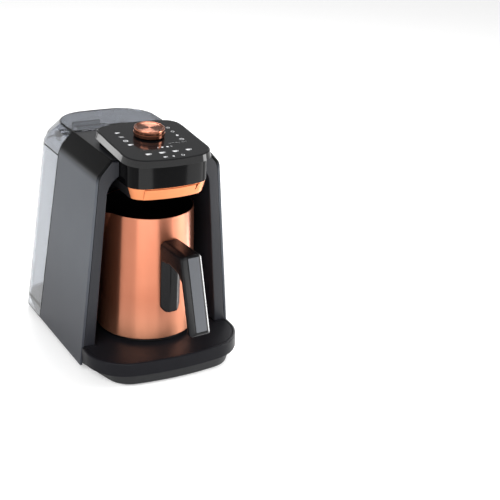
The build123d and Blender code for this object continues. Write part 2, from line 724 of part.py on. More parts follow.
def top_deck():
    """Flat cover between the side panels, with a flange under their lips and the head's hole."""
    back = seam_y(TOP_Z) - SEAM
    edge = TOP_HALF_W - PANEL_LIP - SEAM
    under = deck_under_z()
    front = FACE_Y + FACE_T + SEAM
    plate = block(-edge, edge, front, back, under, TOP_Z - DECK_STEP)
    flange = block(-edge - DECK_FLANGE, edge + DECK_FLANGE, front, back - PAST, under, under + DECK_FLANGE_T)
    return plate + flange - head_block(SEAM, HOUSING_Z, FAR)


# ---------------------------------------------------------------- head
def head_plane():
    """Plane of the control glass, with its origin on the knob's axis."""
    slope = radians(TILT)
    return Plane(origin=(0, KNOB_Y, GLASS_Z), x_dir=(1, 0, 0), z_dir=(0, -sin(slope), cos(slope)))


def head_outline(inset):
    """Plan of the head about the knob's axis: bowed front and back, rounded corners."""
    w = HEAD_HALF_W - inset
    front = -HEAD_FRONT + inset
    back = HEAD_BACK - inset
    edges = [
        ThreePointArc((-w, front + HEAD_FRONT_BOW), (0, front), (w, front + HEAD_FRONT_BOW)),
        Line((w, front + HEAD_FRONT_BOW), (w, back - HEAD_BACK_BOW)),
        ThreePointArc((w, back - HEAD_BACK_BOW), (0, back), (-w, back - HEAD_BACK_BOW)),
        Line((-w, back - HEAD_BACK_BOW), (-w, front + HEAD_FRONT_BOW)),
    ]
    face = make_face(edges)
    for x in (-w, w):
        face = fillet(corner(face, x, front + HEAD_FRONT_BOW), HEAD_FRONT_R - inset)
        face = fillet(corner(face, x, back - HEAD_BACK_BOW), HEAD_BACK_R - inset)
    return face


def head_housing():
    """Black shell of the head, cut off along the glass plane, with posts for the board."""
    outer = head_block(0, HOUSING_Z, GLASS_Z + BEZEL_T)
    inner = head_block(-WALL, HOUSING_Z + WALL, GLASS_Z + 2 * BEZEL_T)
    shell = outer - inner
    for x, v in board_screw_places():
        shell = shell + post(x, KNOB_Y + v, HOUSING_Z + WALL / 2, GLASS_Z, SCREW_R + BOARD_BOSS_WALL)
    above = head_plane() * (Pos(0, 0, -BEZEL_T) * Box(FAR, FAR, FAR, align=UP))
    shell = shell - above
    board_room = head_plane() * (Pos(0, 0, -board_depth()) * Box(
        2 * (BOARD_HALF_W + BOARD_GAP), 2 * (BOARD_HALF_L + BOARD_GAP), FAR, align=UP))
    shell = shell - board_room
    for x, v in board_screw_places():
        depth = board_depth() + BOARD_SCREW_L + TIP_GAP
        shell = shell - head_plane() * (Pos(x, v, -depth) * Cylinder(SCREW_R, FAR, align=UP))
    shell = shell - post(0, POT_Y, 0, HOUSING_Z + WALL + PAST, SPOUT_R + SEAM)
    shell = shell - post(SENSOR_X, POT_Y, 0, HOUSING_Z + WALL + PAST, SENSOR_R + SEAM)
    hole = Location((TUBE_X, KNOB_Y + HEAD_BACK, tube_top_z()), (90, 0, 0))
    return shell - hole * Cylinder(TUBE_R + TUBE_GAP, 4 * WALL)


def board_depth():
    """From the top of the glass down to the underside of the control board."""
    return GLASS_T + ENCODER_H + BOARD_T


def board_screw_places():
    """The board's four screws, in the glass plane."""
    x = BOARD_HALF_W - BOARD_SCREW_INSET
    v = BOARD_HALF_L - BOARD_SCREW_INSET
    return [(-x, -v), (-x, v), (x, -v), (x, v)]


def control_board():
    """Printed board under the glass, screwed to the housing's posts."""
    board = Pos(0, 0, -board_depth()) * Box(2 * BOARD_HALF_W, 2 * BOARD_HALF_L, BOARD_T, align=UP)
    for x, v in board_screw_places():
        board = board - Pos(x, v, -FAR / 2) * Cylinder(SCREW_R + SCREW_CLEAR, FAR, align=UP)
    return head_plane() * board


def board_screws():
    """Four short screws that hold the control board."""
    screws = [Pos(x, v, -board_depth() + BOARD_T + SCREW_HEAD_H) * screw(0, 0, 0, BOARD_SCREW_L, -1)
              for x, v in board_screw_places()]
    return Compound([head_plane() * s for s in screws])


def head_bezel():
    """Rim that carries the glass and closes the housing."""
    foot = Pos(0, 0, -BEZEL_T) * head_outline(-BEZEL_OVERHANG - BEZEL_DRAW)
    outer = loft([foot, head_outline(-BEZEL_OVERHANG)], ruled=True)
    seat = extrude(Pos(0, 0, -GLASS_T) * head_outline(-BEZEL_OVERHANG + BEZEL_LIP), amount=GLASS_T + PAST)
    through = extrude(Pos(0, 0, -BEZEL_T - PAST) * head_outline(WALL), amount=BEZEL_T + 2 * PAST)
    outer = chamfer(outer.faces().sort_by(Axis.Z)[-1].edges(), BEZEL_CHAMFER)
    return head_plane() * (outer - seat - through)


def control_glass():
    """Dark glass panel with one hole for the encoder's bush."""
    outline = head_outline(-BEZEL_OVERHANG + BEZEL_LIP + GLASS_GAP)
    panel = extrude(Pos(0, 0, -GLASS_T) * outline, amount=GLASS_T + GLASS_PROUD)
    panel = chamfer(panel.faces().sort_by(Axis.Z)[-1].edges(), GLASS_CHAMFER)
    return head_plane() * (panel - Cylinder(BUSH_R + SEAM, FAR))


def skirt_ring():
    """Whole ring below the head, drawn in towards its lower edge."""
    outer = skirt_body(SKIRT_TOP_INSET, SKIRT_INSET)
    inner = skirt_body(SKIRT_TOP_INSET + SKIRT_T, SKIRT_INSET + SKIRT_T, PAST)
    return outer - inner


def skirt_end_y():
    """Where the copper chin ends and the black ring behind it starts."""
    return KNOB_Y - HEAD_FRONT + SKIRT_REACH


def plate_notch():
    """Wedge that runs out downward, cut through the plate and the chin behind it."""
    x, z = SKIRT_PLATE_HALF_W - PLATE_NOTCH_INSET, HOUSING_Z - SKIRT_PLATE_DROP
    tip = x - PLATE_NOTCH_LEAN
    wedge = [(x - PLATE_NOTCH_W / 2, z), (x + PLATE_NOTCH_W / 2, z),
             (tip + PLATE_NOTCH_TIP / 2, z - PLATE_NOTCH_H), (tip - PLATE_NOTCH_TIP / 2, z - PLATE_NOTCH_H)]
    return extrude(Plane.XZ * polygon(wedge), amount=FAR)


def copper_skirt():
    """Copper-coloured chin around the front of that ring."""
    return (skirt_ring() & block(-FAR, FAR, -FAR, skirt_end_y(), 0, FAR)) - plate_notch()


def skirt_body(top_inset, foot_inset, reach=0.0):
    """Solid that tapers from the housing's underside to the skirt's lower edge."""
    high = Pos(0, KNOB_Y, HOUSING_Z + reach) * head_outline(top_inset)
    low = Pos(0, KNOB_Y, SKIRT_Z - reach) * head_outline(foot_inset)
    return loft([low, high], ruled=True)


def skirt_plate():
    """Bare front plate on the skirt."""
    proud = skirt_body(SKIRT_TOP_INSET - SKIRT_PLATE_T, SKIRT_INSET - SKIRT_PLATE_T)
    behind = skirt_body(SKIRT_TOP_INSET, SKIRT_INSET)
    front_y = KNOB_Y - HEAD_FRONT + HEAD_FRONT_BOW
    window = block(-SKIRT_PLATE_HALF_W, SKIRT_PLATE_HALF_W, -FAR, front_y, SKIRT_Z, HOUSING_Z - SKIRT_PLATE_DROP)
    return (proud & window) - behind - plate_notch()


def underside_plate():
    """Black plate that closes the skirt from below, with the ring's sides and back."""
    z0 = SKIRT_Z + UNDER_RECESS
    plate = Pos(0, KNOB_Y, z0) * extrude(head_outline(SKIRT_INSET + SKIRT_T), amount=UNDER_T)
    behind = block(-FAR, FAR, skirt_end_y() + SEAM, FAR, 0, FAR)
    floor = Pos(0, KNOB_Y, z0) * extrude(head_outline(SKIRT_INSET + SKIRT_T / 2), amount=UNDER_T)
    plate = plate + (skirt_ring() + floor & behind)
    for x in UNDER_RIB_X:
        plate = plate + block(x - UNDER_RIB_T / 2, x + UNDER_RIB_T / 2, KNOB_Y - UNDER_RIB_FRONT,
                              KNOB_Y + UNDER_RIB_BACK, z0 + UNDER_T, HOUSING_Z)
    plate = plate - post(0, POT_Y, 0, FAR, SPOUT_R + SEAM)
    return plate - post(SENSOR_X, POT_Y, 0, FAR, SENSOR_R + SEAM)


def spout_top():
    """Top of the spout's flange, where its tube ends."""
    return HOUSING_Z + WALL + SPOUT_FLANGE_T


def water_spout():
    """Nozzle that lets hot water fall into the pot, with a nipple for its tube."""
    body = post(0, POT_Y, SKIRT_Z - SPOUT_DROP, HOUSING_Z + WALL, SPOUT_R)
    body = body + post(0, POT_Y, HOUSING_Z + WALL, spout_top(), SPOUT_R + SPOUT_FLANGE)
    body = body + post(0, POT_Y, spout_top(), spout_top() + SPOUT_NIPPLE, TUBE_BORE_R - FIT)
    return body - post(0, POT_Y, 0, FAR, TUBE_BORE_R - NIPPLE_WALL)


def foam_sensor():
    """Optical sensor that looks down into the pot for rising foam."""
    body = post(SENSOR_X, POT_Y, SKIRT_Z + SENSOR_RECESS, HOUSING_Z + WALL + PAST, SENSOR_R)
    head = post(SENSOR_X, POT_Y, HOUSING_Z + WALL, HOUSING_Z + WALL + SENSOR_HEAD_H, SENSOR_R + SENSOR_HEAD)
    return body + head


# ---------------------------------------------------------------- knob and encoder
def on_axis(shape):
    """Put a shape made about Z onto the knob's tilted axis, z = 0 on the glass."""
    return head_plane() * shape


def ring(outer, inner, z0, z1):
    """Plain ring about Z."""
    return Pos(0, 0, z0) * (Cylinder(outer, z1 - z0, align=UP) - Cylinder(inner, z1 - z0, align=UP))


def knob_ring():
    """Lower copper ring of the knob."""
    body = ring(KNOB_R + KNOB_RING_PROUD, KNOB_R - KNOB_WALL, KNOB_GAP, KNOB_GAP + KNOB_RING_H)
    body = chamfer(body.edges().filter_by(GeomType.CIRCLE).sort_by(SortBy.RADIUS)[-2:], KNOB_RING_CHAMFER)
    return on_axis(body)


def knob_cap():
    """Upper copper cap of the knob: raised rim around a dished top."""
    z0 = KNOB_GAP + KNOB_RING_H + KNOB_GROOVE
    profile = [
        (0, KNOB_H - KNOB_TOP_T), (0, KNOB_H - KNOB_DISH),
        (KNOB_R - KNOB_RIM_W - KNOB_RING_CHAMFER, KNOB_H - KNOB_DISH_RIM), (KNOB_R - KNOB_RIM_W, KNOB_H),
        (KNOB_R - KNOB_DISH_RIM, KNOB_H), (KNOB_R, KNOB_H - KNOB_DISH_RIM), (KNOB_R, z0),
        (KNOB_R - KNOB_WALL, z0), (KNOB_R - KNOB_WALL, KNOB_H - KNOB_TOP_T),
    ]
    return on_axis(revolve(Plane.XZ * polygon(profile), Axis.Z))


def knob_hub():
    """Black core that joins cap and ring and grips the shaft."""
    core_top = KNOB_H - KNOB_TOP_T - HUB_GAP
    low = KNOB_GAP + KNOB_RING_H
    body = Pos(0, 0, KNOB_GAP) * Cylinder(KNOB_R - KNOB_WALL - HUB_GAP, core_top - KNOB_GAP, align=UP)
    groove = ring(KNOB_R - HUB_GROOVE_W, KNOB_R - KNOB_WALL - PAST, low + FIT, low + KNOB_GROOVE - FIT)
    recess = Cylinder(BUSH_R + HUB_RECESS_GAP, KNOB_GAP + HUB_RECESS, align=UP)
    bore = Cylinder(SHAFT_R + FIT, shaft_top(), align=UP)
    return on_axis(body + groove - recess - bore)


def shaft_top():
    """Top of the encoder's shaft inside the hub."""
    return KNOB_H - SHAFT_DROP


def shaft_foot():
    """Lower end of the encoder's shaft, above the plunger."""
    return -GLASS_T - ENCODER_H + SHAFT_LIFT


def encoder_shaft():
    """Shaft that turns with the knob and is pressed with it."""
    rod = Pos(0, 0, shaft_foot()) * Cylinder(SHAFT_R, shaft_top() - shaft_foot(), align=UP)
    return on_axis(rod)


def encoder_plunger():
    """Small plunger under the shaft that works the push switch."""
    rod = Pos(0, 0, shaft_foot() - PLUNGER_H) * Cylinder(SHAFT_R - PLUNGER_STEP, PLUNGER_H - FIT, align=UP)
    return on_axis(rod)


def encoder_body():
    """Encoder housing on the board, with its threaded bush in the glass."""
    z0 = -GLASS_T - ENCODER_H
    case = Pos(0, 0, z0) * Box(ENCODER_W, ENCODER_W, ENCODER_H - ENCODER_TOP_GAP, align=UP)
    bush = Pos(0, 0, z0 + BUSH_FOOT) * Cylinder(BUSH_R, -z0 - BUSH_FOOT + KNOB_GAP + BUSH_REACH, align=UP)
    bore = Pos(0, 0, shaft_foot() - PLUNGER_H - KNOB_TRAVEL - PLUNGER_ROOM) * Cylinder(SHAFT_R + SHAFT_CLEAR, FAR, align=UP)
    return on_axis(case + bush - bore)


# ---------------------------------------------------------------- heater
def heater_plate():
    """Round hot plate that the pot stands on."""
    plate = post(0, POT_Y, HEATER_TOP_Z - HEATER_T, HEATER_TOP_Z, HEATER_R)
    return fillet(plate.faces().sort_by(Axis.Z)[-1].edges(), HEATER_EDGE_R)


def element_z():
    """Height of the heating element's centre line, just under the plate."""
    return HEATER_TOP_Z - HEATER_T - ELEMENT_TUBE_R


def heating_element():
    """Sheathed ring element clamped to the plate, with two terminals."""
    section = Plane.XZ * (Pos(ELEMENT_R, 0) * Circle(ELEMENT_TUBE_R))
    coil = Rot(0, 0, 104) * revolve(section, Axis.Z, 332)
    body = Pos(0, POT_Y, element_z()) * coil
    for turn in (74, 106):
        x = ELEMENT_R * cos(radians(turn))
        y = POT_Y + ELEMENT_R * sin(radians(turn))
        body = body + post(x, y, element_z() - TERMINAL_L, element_z(), TERMINAL_R)
    return body


def heater_bracket():
    """Sheet bracket that hangs under the tray body and presses element and cut-out to the plate."""
    disc = post(0, POT_Y, BRACKET_Z, BRACKET_Z + BRACKET_T, ELEMENT_R - BRACKET_W)
    reach = HEATER_R + BRACKET_REACH
    rest_h = element_z() - ELEMENT_TUBE_R - BRACKET_Z
    for turn in (30, 150, 270):
        arm = Pos(reach / 2, 0, BRACKET_Z) * Box(reach, BRACKET_W, BRACKET_T, align=UP)
        leg = Pos(reach - BRACKET_LEG_T / 2, 0, BRACKET_Z) * Box(
            BRACKET_LEG_T, BRACKET_W, TRAY_Z - WALL - BRACKET_Z, align=UP)
        rest = Pos(ELEMENT_R, 0, BRACKET_Z) * Box(BRACKET_LEG_T, BRACKET_W, rest_h, align=UP)
        disc = disc + Pos(0, POT_Y, 0) * (Rot(0, 0, turn) * (arm + leg + rest))
    return disc


def thermal_cutout():
    """Thermostat pressed against the middle of the hot plate."""
    return post(0, POT_Y, BRACKET_Z + BRACKET_T, HEATER_TOP_Z - HEATER_T, CUTOUT_R)


# ---------------------------------------------------------------- water path and power board
def inlet_z():
    """Height of the inlet tube under the tank seat."""
    return PLINTH_Z + WALL + TUBE_R + TUBE_GAP


def inlet_x():
    """Where the inlet tube rises to the pump's end."""
    return PUMP_L / 2 + PUMP_INLET


def tube_top_z():
    """Height of the tube where it enters the head."""
    return ARCH_TOP_Z + LINER_T + TUBE_R + TUBE_TOP_GAP


def nipple_top():
    """Top of the pump's outlet nipple."""
    return PUMP_Z + PUMP_R + PUMP_NIPPLE


def water_pump():
    """Small pump that lies across the machine behind the bay, on a foot of its own."""
    barrel = Location((0, PUMP_Y, PUMP_Z), (0, 90, 0)) * Cylinder(PUMP_R, PUMP_L)
    head = block(PUMP_L / 2 - PAST, PUMP_L / 2 + PUMP_HEAD_L, PUMP_Y - PUMP_HEAD_HALF_W, PUMP_Y + PUMP_HEAD_HALF_W,
                 PUMP_Z - PUMP_HEAD_DROP, PUMP_Z + PUMP_HEAD_RISE)
    foot = block(-PUMP_FOOT_HALF_L, PUMP_FOOT_HALF_L, PUMP_Y - PUMP_FOOT_HALF_W, PUMP_Y + PUMP_FOOT_HALF_W,
                 TRAY_Z, PUMP_Z - PUMP_R / 2)
    nipple = post(TUBE_X, PUMP_Y, PUMP_Z, nipple_top(), TUBE_R)
    return barrel + head + foot + nipple


def tube(points):
    """Round hose along straight runs joined by arcs."""
    path = FilletPolyline(*points, radius=TUBE_BEND_R)
    ring_face = Plane(origin=path @ 0, z_dir=path % 0) * (Circle(TUBE_R) - Circle(TUBE_BORE_R))
    return sweep(ring_face, path=path)


def pressure_tube():
    """Hose from the pump up behind the bay, over its top and forward to the spout."""
    x = TUBE_X
    top = tube_top_z()
    rise_y = BAY_BACK_Y + LINER_T + TUBE_R + TUBE_BACK_GAP
    inside_y = KNOB_Y + HEAD_BACK - TUBE_TURN_IN
    foot = nipple_top()
    points = [
        (x, PUMP_Y, foot), (x, PUMP_Y, foot + TUBE_FIRST_RISE), (x, rise_y, foot + TUBE_SECOND_RISE),
        (x, rise_y, top), (x, inside_y, top), (0, POT_Y, top), (0, POT_Y, spout_top()),
    ]
    return tube(points)


def inlet_tube():
    """Hose from the tank's socket forward and up to the pump."""
    z = inlet_z()
    start = VALVE_Y - VALVE_R - PORT_L
    points = [(0, start, z), (0, start - TUBE_LOW_RUN, z), (inlet_x(), PUMP_Y, z),
              (inlet_x(), PUMP_Y, PUMP_Z - PUMP_HEAD_DROP)]
    return tube(points)


def power_board():
    """Mains board on the back of the bay, with relay, transformer and capacitor."""
    wall = BAY_BACK_Y + LINER_T
    left = POWER_LEFT
    low = PUMP_Z + PUMP_R + POWER_LIFT
    front = wall + POWER_STANDOFF
    back = front + BOARD_T
    board = block(left, left + POWER_W, front, back, low, low + POWER_H)
    for x in (left + POWER_STUD_INSET, left + POWER_W - POWER_STUD_INSET):
        for z in (low + POWER_STUD_INSET, low + POWER_H - POWER_STUD_INSET):
            stud = Location((x, wall + POWER_STANDOFF / 2, z), (90, 0, 0)) * Cylinder(POWER_STUD_R, POWER_STANDOFF)
            board = board + stud
    relay = block(left + RELAY_X, left + RELAY_X + RELAY_W, back, back + PART_DEPTH, low + RELAY_Z,
                  low + RELAY_Z + RELAY_H)
    coil = block(left + COIL_X, left + COIL_X + COIL_W, back, back + PART_DEPTH, low + COIL_Z, low + COIL_Z + COIL_H)
    cap = Pos(left + CAP_X, back + CAP_R - CAP_SINK, low + CAP_Z) * Cylinder(CAP_R, CAP_L)
    return board + relay + coil + cap


# ---------------------------------------------------------------- pot
def pot_r(z):
    """Outer radius of the pot at height z."""
    return mix(POT_FOOT_R, POT_RIM_R, (z - POT_FOOT_Z) / (POT_RIM_Z - POT_FOOT_Z))


def pot_solid(inset, z0, z1):
    """Tapered pot with its pouring lip, drawn in by a wall."""
    cup = Pos(0, POT_Y, z0) * Cone(pot_r(z0) - inset, pot_r(z1) - inset, z1 - z0, align=UP)
    lip_foot = POT_RIM_Z - LIP_DROP
    rim_x = -(POT_RIM_R + LIP_REACH - LIP_R)
    foot_x = -(pot_r(lip_foot) - LIP_FOOT_SINK)
    share = (z1 - lip_foot) / LIP_DROP
    low = Pos(foot_x, POT_Y, lip_foot) * Circle(LIP_FOOT_R - inset)
    high = Pos(mix(foot_x, rim_x, share), POT_Y, z1) * Circle(mix(LIP_FOOT_R, LIP_R, share) - inset)
    return cup + loft([low, high], ruled=True)


def pot_body():
    """Copper-coloured pot: flat bottom, thin wall, pouring lip to the left."""
    shell = pot_solid(0, POT_FOOT_Z, POT_RIM_Z) - pot_solid(POT_WALL, POT_FOOT_Z + 2 * POT_WALL, POT_RIM_Z + 2 * PAST)
    foot = shell.edges().filter_by(GeomType.CIRCLE).sort_by(Axis.Z)[0]
    return fillet(foot, POT_EDGE_R)


def pot_disc():
    """Black contact disc under the pot."""
    disc = post(0, POT_Y, HEATER_TOP_Z + REST_GAP, POT_FOOT_Z, POT_DISC_R)
    return chamfer(disc.faces().sort_by(Axis.Z)[0].edges(), DISC_CHAMFER)


def handle_place():
    """From the handle's own side view to its place on the pot: local x points away from the axis."""
    return Pos(0, POT_Y, 0) * Rot(0, 0, HANDLE_TURN - 90)


def grip_reach(z):
    """Front of the grip at height z, from the pot's axis."""
    return mix(GRIP_FOOT_REACH, GRIP_TOP_REACH, (z - GRIP_FOOT_Z) / (GRIP_TOP_Z - GRIP_FOOT_Z))


def grip_back(z):
    """Back of the grip at height z."""
    return grip_reach(z) - GRIP_T


def handle_profile():
    """Side view of pad, arm and grip."""
    pad_in = POT_RIM_R - PAD_SINK
    back_foot = (grip_back(GRIP_FOOT_Z) - GRIP_FOOT_DRAW, GRIP_FOOT_Z + GRIP_FOOT_LIFT)
    front_foot = (GRIP_FOOT_REACH, GRIP_FOOT_Z)
    under_pad = (PAD_REACH, ARM_UNDER_Z + ARM_SLOPE)
    under_grip = (grip_back(ARM_UNDER_Z), ARM_UNDER_Z - ARM_DIP)
    front_top = (GRIP_TOP_REACH, GRIP_TOP_Z)
    face = polygon([
        (pad_in, PAD_FOOT_Z), (PAD_REACH, PAD_FOOT_Z), under_pad, under_grip, back_foot, front_foot, front_top,
        (pad_in, PAD_TOP_Z),
    ])
    face = fillet(corner(face, *under_pad), ARM_PAD_R)
    face = fillet(corner(face, *under_grip), ARM_GRIP_R)
    face = fillet(corner(face, *back_foot), GRIP_END_R)
    face = fillet(corner(face, *front_foot), GRIP_END_R)
    return fillet(corner(face, *front_top), GRIP_NOSE_R)


def insert_block(grow):
    """Slot in the front of the grip that holds the insert."""
    width = HANDLE_HALF_W - GRIP_CHAMFER - INSERT_MARGIN + grow
    low = GRIP_FOOT_Z + INSERT_FOOT_GAP - grow
    high = GRIP_TOP_Z - INSERT_TOP_GAP + grow
    points = [(grip_reach(low) - INSERT_T, low), (grip_reach(low) + INSERT_T, low),
              (grip_reach(high) + INSERT_T, high), (grip_reach(high) - INSERT_T, high)]
    return extrude(Plane.XZ * polygon(points), amount=width, both=True)


def bevels(start, end, across, depth, past):
    """Two wedges that bevel both side edges along one line of the handle's side view."""
    line = Vector(end[0] - start[0], 0, end[1] - start[1])
    run = line.normalized()
    place = Plane(origin=Vector(start[0], 0, start[1]) - run * past, x_dir=(0, 1, 0), z_dir=run)
    w = HANDLE_HALF_W
    right = polygon([(w - across, 0), (w, depth), (w + 10, depth), (w + 10, -10), (w - across, -10)])
    left = mirror(right, about=Plane.YZ)
    return extrude(place * (right + left), amount=line.length + 2 * past)


def handle():
    """Pad, arm and grip in one black moulding, hollowed to sit on the pot and its bracket."""
    solid = extrude(Plane.XZ * handle_profile(), amount=HANDLE_HALF_W, both=True)
    foot = (GRIP_FOOT_REACH, GRIP_FOOT_Z)
    top = (GRIP_TOP_REACH, GRIP_TOP_Z)
    heel = (grip_back(GRIP_FOOT_Z), GRIP_FOOT_Z)
    inside = (grip_back(ARM_UNDER_Z - ARM_GRIP_R - GRIP_FOOT_CHAMFER), ARM_UNDER_Z - ARM_GRIP_R - GRIP_FOOT_CHAMFER)
    pad_across = HANDLE_HALF_W - PAD_FACE_HALF_W
    pad_foot = PAD_FOOT_Z - PAD_BEVEL_DROP
    pad_top = ARM_UNDER_Z - PAD_BEVEL_DROP
    solid = solid - bevels(foot, top, GRIP_CHAMFER, GRIP_CHAMFER, 2 * GRIP_T)
    solid = solid - bevels(top, (PAD_REACH, PAD_TOP_Z - BARREL_WEB_PAST), GRIP_CHAMFER, GRIP_CHAMFER * 0.8, 3 * GRIP_T)
    solid = solid - bevels((PAD_REACH, pad_foot), (PAD_REACH, pad_top), pad_across, PAD_SHOULDER, PAD_BEVEL_DROP)
    solid = solid - bevels(heel, foot, GRIP_FOOT_CHAMFER, GRIP_FOOT_CHAMFER, GRIP_T / 2)
    solid = solid - bevels((PAD_REACH - PAD_BEVEL_DROP, PAD_FOOT_Z), (PAD_REACH, PAD_FOOT_Z), PAD_FOOT_ACROSS,
                           PAD_FOOT_DEPTH, GRIP_T / 2)
    solid = solid - bevels(inside, heel, GRIP_BACK_CHAMFER, GRIP_BACK_CHAMFER, GRIP_T / 2)
    solid = solid - insert_block(INSERT_GAP)
    solid = handle_place() * solid
    solid = solid - pot_solid(-INSERT_GAP, POT_FOOT_Z, POT_RIM_Z + PAST)
    solid = solid - handle_place() * bracket_block(LUG_GAP)
    x = PAD_REACH - HANDLE_SCREW_SETBACK
    seat = PAD_FOOT_Z + HANDLE_SCREW_SINK
    solid = solid - handle_place() * post(x, 0, PAD_FOOT_Z - PAST, seat, HANDLE_SCREW_HEAD_R + SCREW_CLEAR)
    return solid - handle_place() * post(x, 0, seat - PAST, seat + HANDLE_SCREW_L, HANDLE_SCREW_R + SCREW_CLEAR)


def handle_insert():
    """Grey strip in the front of the grip."""
    strip = insert_block(0)
    low = GRIP_FOOT_Z - GRIP_T
    high = GRIP_TOP_Z + GRIP_T
    cut = [(grip_reach(low) - INSERT_SINK, low), (grip_reach(low) + GRIP_T, low), (grip_reach(high) + GRIP_T, high),
           (grip_reach(high) - INSERT_SINK, high)]
    return handle_place() * (strip - extrude(Plane.XZ * polygon(cut), amount=FAR / 2, both=True))


def bracket_block(grow):
    """Metal lug on the pot that the handle slips over."""
    z0, z1 = (mix(PAD_FOOT_Z, PAD_TOP_Z, share) for share in LUG_SPAN)
    place = Pos(PAD_REACH - LUG_SETBACK, 0, z0 - grow)
    return place * Box(LUG_L + 2 * grow, LUG_W + 2 * grow, z1 - z0 + 2 * grow, align=UP)


def handle_bracket():
    """Lug welded to the pot, inside the handle's pad, tapped from below."""
    lug = handle_place() * bracket_block(0) - pot_solid(0, POT_FOOT_Z, POT_RIM_Z + PAST)
    top = PAD_FOOT_Z + HANDLE_SCREW_SINK + HANDLE_SCREW_L + TIP_GAP
    return lug - handle_place() * post(PAD_REACH - HANDLE_SCREW_SETBACK, 0, PAD_FOOT_Z, top, HANDLE_SCREW_R + FIT)


def handle_screw():
    """Screw from below through the pad into the bracket."""
    head = Cylinder(HANDLE_SCREW_HEAD_R, HANDLE_SCREW_HEAD_H, align=UP)
    head = head - Box(3 * HANDLE_SCREW_HEAD_R, HANDLE_SCREW_SLOT_W, 2 * HANDLE_SCREW_SLOT_DEPTH)
    shank = Pos(0, 0, HANDLE_SCREW_HEAD_H) * Cylinder(HANDLE_SCREW_R, HANDLE_SCREW_L, align=UP)
    place = Pos(PAD_REACH - HANDLE_SCREW_SETBACK, 0, PAD_FOOT_Z + HANDLE_SCREW_SINK - HANDLE_SCREW_HEAD_H)
    return handle_place() * (place * (head + shank))


# ---------------------------------------------------------------- tank
def tank_plan(z, inset):
    """Plan of the tank at height z: straight front, rounded back corners, bowed back."""
    w = half_w(z) - inset
    front = seam_y(z) + TANK_GAP + inset
    back = back_y(z) - inset
    edges = [
        Line((-w, front), (w, front)),
        Line((w, front), (w, back)),
        ThreePointArc((w, back), (0, back + BACK_BOW), (-w, back)),
        Line((-w, back), (-w, front)),
    ]
    face = make_face(edges)
    for x in (-w, w):
        face = fillet(corner(face, x, back), TANK_CORNER_R + LID_CORNER_GROWTH * shoulder_share(z) - inset)
    return face


def tank_block(heights, inset):
    """Solid of the tank's plan between heights."""
    return loft([Pos(0, 0, z) * tank_plan(z, inset) for z in heights], ruled=True)


def hinge_y():
    """Axis of the lid's hinge, just behind the tank."""
    return back_y(TANK_TOP_Z) + BACK_BOW + HINGE_STANDOFF


def bar_x(x0, x1, y, z, radius):
    """Round bar along X."""
    return Location(((x0 + x1) / 2, y, z), (0, 90, 0)) * Cylinder(radius, x1 - x0)


def water_tank():
    """Smoky clear tank with a hem around its raised floor and ears for the lid's hinge."""
    outer = tank_block([HEM_Z, TANK_TOP_Z], 0)
    inner = tank_block([TANK_FLOOR_Z + TANK_FLOOR_T, TANK_TOP_Z + PAST], TANK_WALL)
    under = tank_block([HEM_Z - PAST, TANK_FLOOR_Z], TANK_WALL)
    inside = half_w(TANK_FLOOR_Z) - TANK_WALL
    front_cut = block(-inside, inside, -FAR, SEAM_FOOT_Y + TANK_WALL + HEM_FRONT, -FAR, TANK_FLOOR_Z)
    lead_half = GLAND_R + LEAD_SLOT_GAP
    lead_slot = block(GLAND_X - lead_half, GLAND_X + lead_half, BACK_FOOT_Y - LEAD_SLOT_DEPTH, FAR, -FAR,
                      GROOVE_Z + LEAD_SLOT_GAP)
    tank = outer - inner - under - front_cut - lead_slot
    for side in (-1, 1):
        for reach in (-1, 1):
            x = side * HINGE_X + reach * (HINGE_BARREL_L / 2 + SEAM + HINGE_EAR_T / 2)
            tank = tank + hinge_ear(x)
    tank = tank - post(0, VALVE_Y, 0, TANK_FLOOR_Z + TANK_FLOOR_T + PAST, VALVE_R - VALVE_WALL)
    return tank


def hinge_ear(x):
    """One ear on the tank's back, bored for the hinge pin."""
    half = HINGE_EAR_T / 2
    z = TANK_TOP_Z
    wall_y = back_y(TANK_TOP_Z) + HINGE_WALL_SHARE * BACK_BOW - TANK_WALL / 2
    eye = bar_x(x - half, x + half, hinge_y(), z, HINGE_BARREL_R)
    web = block(x - half, x + half, wall_y, hinge_y(), z - EAR_DROP, z - SEAM)
    bore = bar_x(x - half - PAST, x + half + PAST, hinge_y(), z, HINGE_PIN_R)
    return eye + web - bore - lid_sweep_room(x)


def lid_sweep_room(x):
    """Room above the tank's edge that the lid's skirt needs."""
    return block(x - HINGE_ROOM, x + HINGE_ROOM, -FAR, hinge_y() - HINGE_BARREL_R - SEAM, TANK_TOP_Z, FAR)


